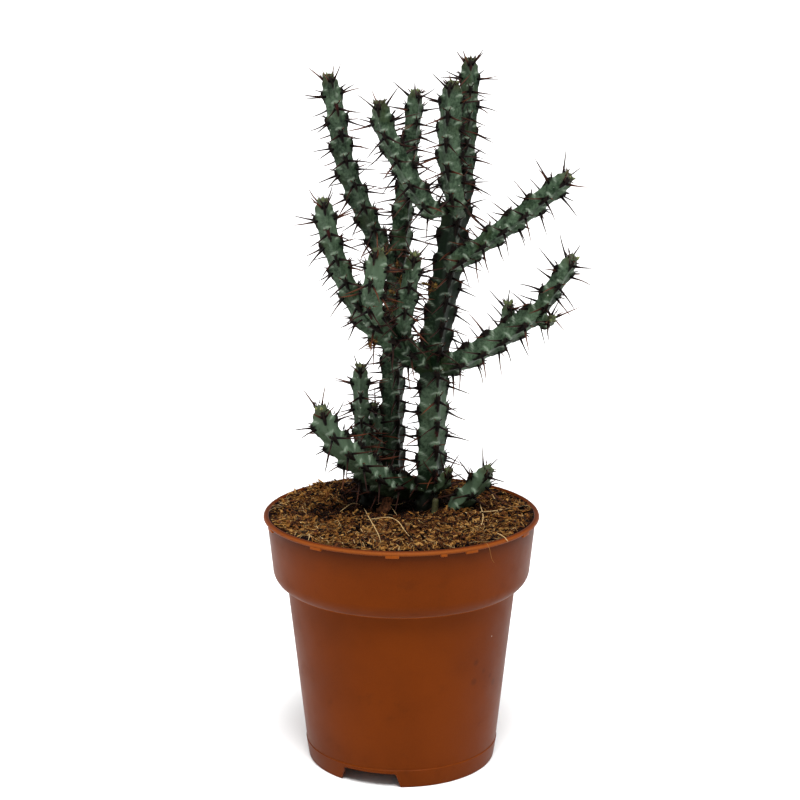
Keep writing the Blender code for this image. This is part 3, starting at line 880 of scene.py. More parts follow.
    def build(self) -> None:
        """Make the pot, its tabs and its seam and dress them."""
        plastic = MouldedPolypropylene().build()
        pot = self.shell()
        cutters = [self.notch_cutter(angle) for angle in self.notch_angles]
        cutters.append(self.drain_cutter(0.0, 0.0))
        for hole in range(self.drain_holes):
            turn = math.tau * (hole + 0.5) / self.drain_holes
            cutters.append(self.drain_cutter(self.drain_circle * math.cos(turn),
                                             self.drain_circle * math.sin(turn)))
        combine(pot, cutters, "DIFFERENCE")
        finish_piece(pot, plastic, Slot.POT, "pot", sharp=32)
        # A paler copy of the plastic for the tabs and the collar's seam: painted light shining
        # through the thin tabs and a painted highlight along the seam.
        thin = MouldedPolypropylene("paler_lit_polypropylene", colour="#803E0F", worn="#76380D",
                                     grime=((0.0, "#000000"), (POT_HEIGHT, "#000000")))
        lit_plastic = thin.build()
        finish_piece(self.lip_tabs(), lit_plastic, Slot.POT, sharp=45)
        finish_piece(self.collar_bead(), lit_plastic, Slot.POT, sharp=60)


# ---------------------------------------------------------------- soil

@dataclass(frozen=True)
class Litter:
    """Loose bits on the soil: how many, the smallest and largest length, width and thickness, the
    template's subdivisions, the tones' middle and spread, and the angle of the edges that stay
    sharp."""

    name: str
    count: int
    size: tuple[Pair, ...]
    detail: int
    tone: Pair
    sharp: float


@dataclass
class CoirSoil:
    """The soil plug, its crumbly top, the chips and fibres on it and a few dead roots. A hollow, a
    mound or a darker spot is (x, y, reach, strength); the darker spots are partly damp ground and
    partly painted shade under and behind the stems. A thread's points are (x, y, lift)."""

    edge_radius: float = 51.5
    edge_z: float = 98.2
    crown_z: float = 96.0
    plug: tuple[Pair, ...] = (
        (50.4, 96.4), (48.4, 76.3), (45.8, 73.3), (43.1, 72.5), (36.4, 10.4), (34.8, 8.9),
        (0.0, 8.9))
    flat_z: float = 97.0
    rings: int = 90
    steps: int = 220
    calm_edge: float = 2.5
    lump: float = 1.3
    lump_size: float = 8.0
    crumb: float = 1.05
    crumb_size: float = 2.0
    rises: tuple[Quad, ...] = (
        (-2.0, 15.0, 9.0, -3.6), (-24.0, 40.0, 8.0, 1.2))
    # Darker spots: partly damp ground and partly painted shade under and behind the stems.
    damp_and_shade_spots: tuple[Quad, ...] = (
        (-11.0, 26.0, 9.0, 1.1), (1.0, 21.0, 8.0, 1.1), (18.0, 19.0, 6.0, 0.7),
        (-31.0, 5.0, 9.0, 0.3), (-38.0, 20.0, 9.0, -0.2))
    bed_tone: float = 0.35
    bed_damp_and_shade: float = 0.4
    side_tone: float = 0.03
    patchiness: float = 0.35
    patch_size: float = 4.5
    edge_gap: float = 1.7
    litter: tuple[Litter, ...] = (
        Litter("coir_chips", 6000, ((1.5, 5.4), (0.3, 0.75), (0.22, 0.5)), 0, (0.46, 0.36), 20),
        Litter("peat_lumps", 520, ((1.0, 3.4), (0.8, 2.3), (0.7, 1.7)), 1, (0.48, 0.24), 60))
    jitter: float = 0.16
    most_lift: float = 0.9
    tilts: Pair = (0.28, 0.4)
    fibres: int = 5400
    long_fibres: int = 160
    fibre_length: Pair = (1.8, 7.0)
    long_length: Pair = (9, 22)
    fibre_thick: Pair = (0.08, 0.19)
    fibre_lift: Pair = (0.1, 0.6)
    fibre_arch: float = 0.6
    fibre_curl: float = 0.5
    fibre_gap: float = 0.3
    fibre_tones: Pair = (0.36, 0.3)
    long_tones: Pair = (0.75, 0.3)
    fibre_taper: Keys = ((0.0, 0.5), (0.3, 1.0), (1.0, 0.4))
    threads: tuple[tuple[Triple, ...], ...] = (
        ((-14.7, 10.8, 0.4), (-12.1, -7.2, 1.2), (-8.8, -25.6, 0.6), (-7.5, -43.1, 0.5)),
        ((-13.2, -8.5, 0.6), (-9.8, -7.2, 1.5), (-4.8, -7.4, 1.8), (-1.3, -15.2, 1.7),
         (1.4, -25.6, 1.3), (4.7, -39.4, 0.4)),
        ((-23.9, 1.0, 0.3), (-19.5, 10.8, 1.4), (-15.6, 15.1, 0.4)),
        ((-10.5, 21.0, 0.4), (-6.5, 17.9, 2.4), (-2.5, 18.3, 2.2), (1.5, 22.0, 0.6)),
        ((-7.4, 22.0, 3.2), (-4.3, 15.1, 2.4), (-1.7, 5.2, 0.4)),
        ((31.0, 10.8, 0.4), (31.4, -8.5, 1.4), (29.7, -21.7, 0.4)),
        ((23.7, 1.0, 0.4), (36.5, 2.4, 1.2), (45.4, 5.2, 0.5)),
        ((26.0, -36.0, 0.5), (30.6, -45.5, 2.6), (31.0, -50.6, 3.9), (31.9, -52.9, 2.4),
         (32.6, -53.3, -0.8), (33.6, -53.2, -2.6)),
        ((35.5, -32.0, 0.9), (38.0, -35.6, 1.8), (39.4, -37.4, 0.5)),
    )
    root_lift: float = 0.9
    hanging_drop: float = 1.5
    root_radii: Keys = ((0.0, 0.1), (0.2, 0.2), (0.7, 0.16), (1.0, 0.07))
    root_look: Pair = (1.05, 0.95)
    hanging_look: Pair = (0.55, 0.55)

    @staticmethod
    def swell(spots: Sequence[Quad], x: float, y: float) -> float:
        """Sum of soft round swellings (x, y, reach, strength) at a place."""
        return sum(strength * math.exp(-((x - at_x) ** 2 + (y - at_y) ** 2) / (2 * reach * reach))
                   for at_x, at_y, reach, strength in spots)

    def height(self, x: float, y: float) -> float:
        """Height of the crumbly top at a place.

        Args:
            x: the place to the right of the pot's axis.
            y: the place behind it.

        Returns:
            The height in millimetres.
        """
        radius = math.hypot(x, y)
        point = Vector((x, y, 0.0))
        inside = 1 - smoothstep(self.edge_radius - self.calm_edge, self.edge_radius, radius)
        z = self.crown_z + (self.edge_z - self.crown_z) * (radius / self.edge_radius) ** 2
        z += inside * self.lump * uneven(point, self.lump_size)
        z += inside * self.crumb * uneven(point + Vector((40, 0, 9)), self.crumb_size)
        return z + self.swell(self.rises, x, y)

    def bed(self) -> Object:
        """The plug of peat: a turned plug whose flat top is raised and sunk by the height rule.

        Returns:
            The closed plug.
        """
        top = [(self.edge_radius * ring / self.rings, self.flat_z)
               for ring in range(self.rings + 1)]
        bm = turned([*top, *self.plug], self.steps)
        shade = bm.verts.layers.float_color.new("shade")
        for vert in bm.verts:
            # Darker at the damp and painted-shade spots.
            damp = self.swell(self.damp_and_shade_spots, vert.co.x, vert.co.y)
            vert[shade] = (self.bed_tone - self.bed_damp_and_shade * damp, 0.0, 0.0, 1.0)
            if vert.co.z > self.flat_z - MERGE:
                vert.co.z = self.height(vert.co.x, vert.co.y)
        return as_object("soil_bed", bm)

    def tone(self, x: float, y: float, rng: Random, middle: float, spread: float) -> float:
        """A bit's tone: patchy, darker at the damp and painted-shade spots under the stems, and a
        little to the right.

        Args:
            x: its place to the right of the pot's axis.
            y: its place behind it.
            rng: the source of the draws.
            middle: the tones' middle.
            spread: how far they stray.

        Returns:
            The tone, 0 to 1.
        """
        value = rng.gauss(middle - self.side_tone * x / self.edge_radius, spread)
        value += self.patchiness * uneven(Vector((x, y, 30.0)), self.patch_size)
        return min(max(value - self.swell(self.damp_and_shade_spots, x, y), 0.0), 1.0)

    def place_on(self, rng: Random) -> Pair:
        """A random place on the top, even over its area."""
        radius = (self.edge_radius - self.edge_gap) * math.sqrt(rng.random())
        turn = rng.uniform(0, math.tau)
        return radius * math.cos(turn), radius * math.sin(turn)

    def scatter(self, litter: Litter, rng: Random) -> Object:
        """Strew chips or lumps over the top.

        Args:
            litter: what is strewn.
            rng: the source of the draws.

        Returns:
            The bits in one object.
        """
        copies = Copies(unit_lump(litter.detail, self.jitter, rng))
        for _ in range(litter.count):
            x, y = self.place_on(rng)
            sides = [rng.uniform(low, high) for low, high in litter.size]
            lift = rng.uniform(0.0, self.most_lift) * sides[2]
            shape = Matrix.Rotation(rng.uniform(0, math.tau), 3, "Z")
            for axis, tilt in zip("YX", self.tilts):
                shape = shape @ Matrix.Rotation(rng.gauss(0, tilt), 3, axis)
            shape = shape @ Matrix.Diagonal(sides)
            middle = Vector((x, y, self.height(x, y) + lift))
            copies.add(lambda point: middle + shape @ point, self.tone(x, y, rng, *litter.tone))
        return as_object(litter.name, copies.bm)

    def strands(self, rng: Random) -> Object:
        """Strew short and long fibres over the top.

        Args:
            rng: the source of the draws.

        Returns:
            The fibres in one object.
        """
        copies = Copies(unit_tube(3, 4))
        limit = self.edge_radius - self.fibre_gap
        for index in range(self.fibres + self.long_fibres):
            x, y = self.place_on(rng)
            is_long = index >= self.fibres
            sizes, tones = ((self.long_length, self.long_tones) if is_long
                            else (self.fibre_length, self.fibre_tones))
            length = rng.uniform(*sizes)
            turn = rng.uniform(0, math.tau)
            curl = rng.gauss(0, self.fibre_curl)
            points = []
            for step in range(5):
                share = step / 4 - 0.5
                heading = turn + curl * share
                px = x + length * share * math.cos(heading)
                py = y + length * share * math.sin(heading)
                keep = min(1.0, limit / math.hypot(px, py))
                px, py = px * keep, py * keep
                arch = rng.uniform(*self.fibre_lift)
                arch += self.fibre_arch * math.sin(math.pi * step / 4)
                points.append(Vector((px, py, self.height(px, py) + arch)))
            thick = rng.uniform(*self.fibre_thick)
            radii = [(share, size * thick) for share, size in self.fibre_taper]
            copies.along(points, radii, self.tone(x, y, rng, *tones))
        return as_object("coir_fibres", copies.bm)

    def dead_roots(self) -> Object:
        """The few long pale roots that lie on the top, one of them over the lip.

        Returns:
            The roots in one object.
        """
        copies = Copies(unit_tube(5, 28))
        for thread in self.threads:
            points = []
            for x, y, lift in thread:
                inside = math.hypot(x, y) < self.edge_radius
                ground = (self.height(x, y) + self.root_lift if inside
                          else POT_HEIGHT - self.hanging_drop)
                points.append(Vector((x, y, ground + lift)))
            thick, tone = self.hanging_look if lift < 0 else self.root_look
            copies.along(points, [(share, size * thick) for share, size in self.root_radii], tone)
        return as_object("dead_roots", copies.bm)

    def build(self) -> None:
        """Make the soil's pieces and dress them."""
        rng = Random(SEED)
        chip, fibre = COIR_CHIP.build(), COIR_FIBRE.build()
        finish_piece(self.bed(), PEAT_AND_GAP_SHADE.build(), Slot.SOIL, "soil")
        for litter in self.litter:
            finish_piece(self.scatter(litter, rng), chip, Slot.SOIL, sharp=litter.sharp)
        finish_piece(self.strands(rng), fibre)
        finish_piece(self.dead_roots(), fibre)


# ---------------------------------------------------------------- stems

@dataclass(frozen=True)
class Stem:
    """One stem or branch. Route points are (x, y, z, rib radius). Phase turns the first rib to the
    right of the front at the lower end, and twist adds to it up to the tip, in degrees. Wax keys
    give the amount of bloom at shares of the length, and below zero a near-black that is partly
    dirt and partly painted shade, mostly at the stems' feet; relief says how strongly its teeth
    stand out."""

    route: tuple[Quad, ...]
    phase: float = 0.0
    twist: float = 0.0
    rooted: bool = False
    wax: Keys = ((0.0, 0.6), (1.0, 0.8))
    relief: float = 1.0


@dataclass(frozen=True)
class Plant:
    """One rooted plant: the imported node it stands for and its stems, the rooted one first."""

    name: str
    stems: tuple[Stem, ...]


# Wax keys below zero, mostly at the stems' feet, paint shade there as well as dirt.
MAIN_STEM = Stem(
    ((10, 17.5, 82, 4.6), (10, 17.5, 97.5, 5.0), (11.5, 17.5, 110.5, 5.9), (12.5, 17, 139, 6.0),
     (12.5, 16.5, 151.5, 6.0), (14, 16, 167.5, 6.2), (18.5, 14.5, 196, 5.8), (20, 14, 208.5, 5.6),
     (22.5, 14.5, 220, 4.9), (24, 16, 237, 4.3), (25.5, 18, 254, 3.8), (26, 20, 270.5, 3.5)),
    phase=24, twist=-20, rooted=True,
    wax=((0.08, -0.9), (0.13, -0.3), (0.17, 0.75), (0.3, 0.85), (0.38, 0.2), (0.5, -0.15),
         (0.7, -0.15), (0.85, 0.4)), relief=0.7)
FRONT_TOP = Stem(
    ((21.5, 13, 212, 3.0), (20.5, 6.5, 218, 4.2), (19, 5, 227, 4.7), (18, 5, 238, 4.8),
     (18.5, 5, 251, 4.7), (19, 6, 262.5, 4.2)),
    phase=-17, wax=((0, 0.85), (1, 0.65)))
LEANING_TOP = Stem(
    ((16.5, 11, 215, 3.0), (11.5, 3, 216, 4.0), (7, 0, 221.5, 4.3), (1.5, -3, 231, 4.3),
     (-3, -4, 239.5, 4.2), (-6.5, -5, 248, 4.1), (-8, -5, 256, 3.8)),
    phase=-14, wax=((0, 0.7), (1, 0.6)))
UPPER_RIGHT = Stem(
    ((18, 14, 192, 3.6), (21.5, 9, 195.5, 4.4), (26, 8, 199, 4.5), (30.5, 7, 202, 3.9),
     (37.5, 6, 207.5, 4.2), (49.5, 4, 217, 4.2), (62.5, 1, 228.5, 3.9)),
    phase=8, wax=((0, 0.6), (1, 0.8)))
LOWER_RIGHT = Stem(
    ((12.5, 16.5, 152, 4.5), (19, 14, 154.5, 5.1), (26.5, 12, 158, 5.2), (38, 8, 166, 5.2),
     (47.5, 5.5, 173.5, 5.1), (53, 4, 178, 4.0), (57, 3, 185, 3.9), (64.5, 0, 198, 3.7)),
    phase=15, wax=((0, 0.55), (1, 0.8)))
BUD_ABOVE = Stem(((42, 8, 170.5, 2.5), (41, 7, 175.5, 3.2), (41, 6.5, 179.5, 2.6)), phase=20)
BUD_IN_FRONT = Stem(((52, 5, 174.5, 2.5), (55, 0, 174, 3.0), (57, -4, 175.5, 2.4)))
BIG_LEFT = Stem(
    ((10.5, 16, 153, 4.6), (5, 10, 158.5, 5.1), (-0.5, 5, 163.5, 5.3), (-6.5, 1, 169, 5.3),
     (-13, -3, 175, 4.8), (-18, -5, 183.5, 4.1), (-22.5, -6, 193.5, 4.0), (-27, -8, 208, 4.0),
     (-29, -9, 220.5, 3.8)),
    phase=5, wax=((0, 0.25), (1, 0.85)))
LEFT_OFFSET = Stem(
    ((-9, -1, 172.5, 3.0), (-10.5, -8, 179, 4.2), (-11, -10.5, 185, 4.6),
     (-9.5, -12.5, 194.5, 4.4), (-8.5, -13, 202.5, 4.0)),
    phase=-18, wax=((0, 0.9), (1, 1.0)))
RIGHT_OFFSET = Stem(
    ((1.5, 5, 165, 3.0), (1, -2, 173, 3.5), (2, -4, 182, 3.7), (3.5, -5, 191, 3.5),
     (5, -6, 200, 3.2)), wax=((0, 0.5), (1, 0.6)))
LOW_LEFT = Stem(
    ((7.5, 17.5, 102.5, 4.0), (1, 15, 104.5, 5.2), (-5.5, 11, 107, 5.6), (-12.5, 6, 113.5, 5.6),
     (-20, 0, 121.5, 5.4), (-25, -5, 128, 5.0), (-29, -8.5, 135.5, 4.6), (-30.5, -10.5, 142, 4.2)),
    phase=12, wax=((0, -0.6), (0.15, -0.2), (0.3, 0.5), (0.5, 1.0), (1, 1.4)), relief=1.25)
LOW_SHOOT = Stem(
    ((12, 16, 103, 2.4), (16.5, 11, 107.5, 3.0), (18.5, 9.5, 112.5, 2.8)), phase=10)
REAR_STEM = Stem(
    ((-3.5, 33, 82, 4.4), (-3.5, 33, 97.5, 4.8), (-3.5, 33.5, 110.5, 5.2), (-3.5, 34, 153.5, 5.1),
     (-2.5, 34, 176, 5.0), (-0.5, 34, 198, 4.7), (1, 35, 215.5, 4.4), (3.5, 37, 236.5, 3.9),
     (5.5, 38, 257.5, 3.6)),
    phase=27, rooted=True, wax=((0.1, -0.9), (0.17, -0.1), (0.22, 0.3), (1, 0.6)), relief=0.75)
REAR_BRANCH = Stem(
    ((-2.5, 33, 185, 3.4), (-6.5, 30, 194.5, 4.1), (-12, 26, 206.5, 4.3), (-18, 22, 221, 4.3),
     (-22, 19, 233, 4.2), (-25.5, 17, 254.5, 3.9), (-27.5, 17, 264.5, 3.6)),
    phase=15, wax=((0, 0.35), (1, 0.65)))
SMALL_STEM = Stem(
    ((-13.5, 18.5, 82, 2.8), (-13.5, 18.5, 97.5, 3.1), (-14.5, 18, 112.5, 3.5),
     (-15.5, 18, 126, 3.5), (-16, 18, 142, 3.5), (-16, 18, 152.5, 3.2)),
    rooted=True, wax=((0.2, -0.9), (0.4, -0.6), (0.5, 0.3), (1, 1.0)))
SMALL_SHOOT = Stem(
    ((-13.5, 19, 107, 2.2), (-10.5, 24, 115, 2.8), (-10, 26.5, 125, 2.9), (-11, 27, 134.5, 2.5)),
    phase=10)
LOW_RIGHT = Stem(
    ((21.5, 11, 82, 3.2), (21.5, 11, 97.5, 3.8), (24.5, 9.5, 101.5, 4.3), (27.5, 8, 105, 4.4),
     (31, 6, 110, 4.2), (34, 5, 114.5, 3.8)),
    phase=10, rooted=True, wax=((0.3, 0.6), (0.4, 1.4), (1, 1.4)), relief=1.25)

PLANTS = (
    Plant("stem_main",
          (MAIN_STEM, FRONT_TOP, LEANING_TOP, UPPER_RIGHT, LOWER_RIGHT, BUD_ABOVE, BUD_IN_FRONT,
           BIG_LEFT, LEFT_OFFSET, RIGHT_OFFSET, LOW_LEFT, LOW_SHOOT)),
    Plant("stem_rear", (REAR_STEM, REAR_BRANCH)),
    Plant("stem_small", (SMALL_STEM, SMALL_SHOOT)),
    Plant("stem_low_right", (LOW_RIGHT,)),
)


@dataclass(frozen=True)
class RibShape:
    """Sizes of the ribs and their teeth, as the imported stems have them."""

    ribs: int = 4
    pitch: float = 10.0
    tooth_height: float = 0.8
    root_depth: float = 15.5
    root_round: float = 2.0
    tip_length: float = 1.2
    tip_share: float = 0.62
    full_radius: float = 5.6
    smallest_tooth: float = 0.62

    def tooth_scale(self, radius: float) -> float:
        """Size of the teeth on a stem of this radius, against full-grown ones."""
        return min(max(radius / self.full_radius, self.smallest_tooth), 1.0)


RIBS = RibShape()


class Course:
    """A smooth course through a stem's route points, with its ribs' directions and teeth."""

    def __init__(self, stem: Stem, steps: int = 12) -> None:
        """Sample the route.

        Args:
            stem: the stem whose course it is.
            steps: samples between two route points.
        """
        self.stem = stem
        path = smooth_path([Vector(point) for point in stem.route])
        count = steps * (len(stem.route) - 1)
        points = [path(step / count) for step in range(count + 1)]
        self.samples = [(point.to_3d(), point.w) for point in points]
        self.lengths = [0.0]
        for first, second in zip(self.samples, self.samples[1:]):
            self.lengths.append(self.lengths[-1] + (second[0] - first[0]).length)
        self.length = self.lengths[-1]

    def at(self, distance: float) -> tuple[Vector, float]:
        """Read the course.

        Args:
            distance: how far along it.

        Returns:
            The place and the rib radius there.
        """
        distance = min(max(distance, 0.0), self.length)
        index = 1
        while index < len(self.lengths) - 1 and self.lengths[index] < distance:
            index += 1
        start, end = self.lengths[index - 1:index + 1]
        before, after = self.samples[index - 1:index + 1]
        share = (distance - start) / (end - start)
        return before[0].lerp(after[0], share), before[1] + (after[1] - before[1]) * share

    def along(self, distance: float) -> Vector:
        """Unit direction of growth at a distance."""
        return (self.at(distance + 1.0)[0] - self.at(distance - 1.0)[0]).normalized()

    def directions(self, distance: float, angle: float) -> tuple[Vector, Vector]:
        """Unit directions square to the course.

        Args:
            distance: how far along the course.
            angle: turn from the first rib, in degrees.

        Returns:
            The direction outwards at that turn, and the one a quarter turn further on.
        """
        along = self.along(distance)
        front = Vector((0, -1, 0))
        front = (front - along * front.dot(along)).normalized()
        side = along.cross(front)
        turn = math.radians(self.stem.phase + self.stem.twist * distance / self.length + angle)
        return (math.cos(turn) * front + math.sin(turn) * side,
                math.cos(turn) * side - math.sin(turn) * front)

    def bare_length(self) -> float:
        """Length at the lower end that has no teeth: the root, or the part inside the parent."""
        bare = RIBS.root_depth if self.stem.rooted else self.stem.route[0][3]
        return bare + RIBS.root_round

    def teeth(self) -> list[Pair]:
        """Every tooth as (distance, rib's turn), an opposite pair of ribs at a time."""
        half = RIBS.pitch / 2
        top = self.length - RIBS.tip_length
        count = int((top - self.bare_length()) / half) + 1
        return [(top - half * level, 360 * rib / RIBS.ribs) for level in reversed(range(count))
                for rib in range(level % 2, RIBS.ribs, 2)]


@dataclass
class StemSkin:
    """The ribbed skin of a stem: its cross-section, teeth, spine shields and leaf-scar ledges,
    whose pale mark is partly scar and partly a painted highlight on each ledge's lit top. Crest,
    swelling and shield are keys along the stem from a tooth, upwards."""

    columns: int = 14
    row_length: float = 0.5
    valley: float = 0.6
    crest: Keys = ((-7.0, -0.75), (-5.6, -0.6), (-3.4, -0.1), (-1.4, 0.6), (0.0, 0.95),
                   (1.2, 0.9), (2.0, 0.3), (2.6, -0.55), (3.0, -0.75))
    swelling: Keys = ((-7.0, 0.0), (-4.0, 0.3), (-1.0, 0.9), (1.5, 1.0), (2.6, 0.5), (3.0, 0.0))
    shield: Keys = ((-5.4, -0.4), (-4.6, 0.5), (-2.6, 0.85), (-0.5, 1.15), (1.0, 1.3),
                    (1.7, 0.9), (2.1, -0.3))
    crest_round: float = 0.75
    crest_swell: float = 0.75
    hollowness: float = 0.8
    shield_rise: float = 0.2
    shield_stray: float = 0.45
    fray: float = 0.3
    # The ledges are painted pale: partly the leaf scar and partly a painted highlight on each
    # ledge's lit top.
    ledge_place: float = 2.95
    ledge_bow: float = 0.26
    ledge_width: float = 0.3
    ledge_reach: Pair = (2.7, 1.7)
    ledge_scar_and_highlight: float = 0.6
    ledge_rise: float = 0.15
    waviness: Keys = ((7.0, 0.2), (1.5, 0.05))
    taper: float = 2.4
    tip_roundness: float = 0.45
    young: Pair = (4.0, 0.3)
    young_mark: float = 0.7
    young_smooth: float = 0.5
    root_ease: Pair = (3.0, 4.0)
    below_teeth: float = 3.0
    first_rise: float = 2.0
    joint_reach: float = 6.0
    joint_mark: float = 0.2
    joint_wax: float = 0.5
    dome_rows: int = 6
    dome_rise: float = 0.32

    def tooth_offset(self, course: Course, distance: float, rib: int) -> float:
        """Signed distance from a rib's nearest tooth, from -7 below it to 3 above it."""
        top = course.length - RIBS.tip_length - RIBS.pitch / 2 * (rib % 2)
        return (distance - top + 7.0) % RIBS.pitch - 7.0

    def point(self, radius: float, roundness: float, share: float, swell: float) -> Pair:
        """A point of the cross-section, from a rib's crest towards one of its valleys.

        Args:
            radius: the rib's radius.
            roundness: 0 for the ribbed section and 1 for a circle.
            share: 0 on the crest and 1 or -1 in the valleys.
            swell: how much blunter the crest is, 0 to 1.

        Returns:
            Distance out along the rib, and sideways.
        """
        valley = (self.valley + (1 - self.valley) * roundness) * radius * math.sqrt(0.5)
        blunt = self.crest_round + self.crest_swell * swell
        across = share * valley
        fall = math.hypot(across, blunt) - blunt
        deepest = math.hypot(valley, blunt) - blunt
        ribbed = radius - (radius - valley) * (fall / deepest) ** self.hollowness
        circle = math.sqrt(max(radius * radius - across * across, 0.0))
        return ribbed + (circle - ribbed) * roundness, across

    def marks(self, offset: float, across: float, scale: float, place: Vector) -> Pair:
        """How much cork and how much pale ledge there is at a point; the ledge's paleness is
        partly leaf scar and partly a painted highlight.

        Args:
            offset: distance from the rib's nearest tooth.
            across: distance sideways from the crest.
            scale: size of the tooth against a full-grown one.
            place: the point, for uneven edges.

        Returns:
            Cork and ledge, each 0 to 1.
        """
        half_width = keyed(self.shield, offset / scale) * scale
        edge = half_width * (1 + self.shield_stray * uneven(place, 6.0)) - abs(across)
        cork = smoothstep(-0.2, 0.14, edge + self.fray * uneven(place, 1.1))
        bow = self.ledge_place * scale - self.ledge_bow * across * across
        ledge = math.exp(-((offset - bow) / self.ledge_width) ** 2)
        start, end = self.ledge_reach
        ledge *= smoothstep(start * scale, end * scale, abs(across))
        return cork, self.ledge_scar_and_highlight * ledge * (1 - cork)

    def ring(self, course: Course, distance: float,
             dome: float) -> Iterator[tuple[int, Vector, Quad]]:
        """One row of points round a stem.

        Args:
            course: the stem's course.
            distance: how far along it.
            dome: how far over the tip's dome, as an angle.

        Yields:
            Each point's column, its place, and its cork, ledge, youth and wax.
        """
        stem = course.stem
        middle, radius = course.at(distance)
        left = course.length - distance
        end = smoothstep(self.taper, 0.0, left)
        youth = smoothstep(*self.young, left)
        roundness = self.tip_roundness * end
        joint = 0.0
        if stem.rooted:
            before, after = self.root_ease
            roundness = max(roundness, 1 - smoothstep(
                RIBS.root_depth - before, RIBS.root_depth + after, distance))
        else:
            joint = 1 - smoothstep(1.0, radius + self.joint_reach, distance)
        middle = middle + course.along(distance) * (self.dome_rise * radius * math.sin(dome))
        narrow = radius * (1 - (1 - RIBS.tip_share) * end)
        flat = math.cos(dome)
        scale = RIBS.tooth_scale(radius)
        wax = keyed(stem.wax, distance / course.length) * (1 - self.joint_wax * joint)
        lowest = course.bare_length() - self.below_teeth
        toothed = distance > lowest and dome == 0.0
        relief = scale * stem.relief * (1 - self.young_smooth * youth)
        relief *= smoothstep(lowest, lowest + self.first_rise, distance)
        for rib in range(RIBS.ribs):
            outward, sideways = course.directions(distance, 360 * rib / RIBS.ribs)
            offset = self.tooth_offset(course, distance, rib)
            swell = keyed(self.swelling, offset / scale) if toothed else 0.0
            rise = keyed(self.crest, offset / scale) * relief if toothed else 0.0
            for column in range(-(self.columns // 2), self.columns // 2 + 1):
                share = column / (self.columns // 2)
                out, across = self.point(narrow, roundness, share, swell)
                out += rise * (1 - share * share) ** 2
                spread = outward * out + sideways * across
                place = middle + spread * flat
                cork, ledge = self.marks(offset, across, scale, place) if toothed else (0.0, 0.0)
                wave = sum(depth * uneven(place, size) for size, depth in self.waviness)
                wave += self.shield_rise * cork + self.ledge_rise * ledge
                fresh = min(self.young_mark * youth + self.joint_mark * joint, 1.0)
                mark = (cork, ledge, fresh * (1 - cork), wax)
                yield (rib * self.columns + column) % (RIBS.ribs * self.columns), (
                    place + spread.normalized() * (wave * flat)), mark

    def body(self, name: str, course: Course) -> Object:
        """One closed ribbed stem: a grid rolled into a tube and closed over its tip.

        Args:
            name: the object's name.
            course: the stem's course.

        Returns:
            The stem in metres, not linked.
        """
        count = int(course.length / self.row_length)
        rows = [(course.length * row / count, 0.0) for row in range(count + 1)]
        rows += [(course.length, math.pi / 2 * step / self.dome_rows)
                 for step in range(1, self.dome_rows + 1)]
        around = RIBS.ribs * self.columns
        bm = bmesh.new()
        bmesh.ops.create_grid(bm, x_segments=around, y_segments=len(rows) - 1, size=0.5)
        layer = bm.loops.layers.float_color.new("marks")
        grid = {(round((vert.co.x + 0.5) * around),
                 round((vert.co.y + 0.5) * (len(rows) - 1))): vert for vert in bm.verts}
        values = {}
        for row, (distance, dome) in enumerate(rows):
            for index, place, mark in self.ring(course, distance, dome):
                for column in ((index, around) if index == 0 else (index,)):
                    grid[column, row].co = place
                    values[grid[column, row]] = mark
        for face in bm.faces:
            for loop in face.loops:
                loop[layer] = values[loop.vert]
        bmesh.ops.remove_doubles(bm, verts=bm.verts, dist=MERGE / 2)
        bmesh.ops.holes_fill(bm, edges=[edge for edge in bm.edges if edge.is_boundary],
                             sides=around)
        bmesh.ops.recalc_face_normals(bm, faces=bm.faces)
        return as_object(name, bm)


# ---------------------------------------------------------------- spines

@dataclass(frozen=True)
class Capsule:
    """A straight stretch of a stem or a spine that other plants' spines keep clear of."""

    start: Vector
    end: Vector
    radius: float
    plant: str


def segment_distance(a0: Vector, a1: Vector, b0: Vector, b1: Vector) -> float:
    """Shortest distance between two straight segments.

    Args:
        a0: the first segment's start.
        a1: its end.
        b0: the second segment's start.
        b1: its end.

    Returns:
        The distance.
    """
    a, b, between = a1 - a0, b1 - b0, a0 - b0
    aa, bb, ab = a.dot(a), b.dot(b), a.dot(b)
    af, bf = a.dot(between), b.dot(between)
    spread = aa * bb - ab * ab
    s = min(max((ab * bf - af * bb) / spread, 0.0), 1.0) if spread > 1e-9 else 0.0
    t = (ab * s + bf) / bb
    if t < 0.0 or t > 1.0:
        t = min(max(t, 0.0), 1.0)
        s = min(max((ab * t - af) / aa, 0.0), 1.0)
    return (a0 + a * s - b0 - b * t).length


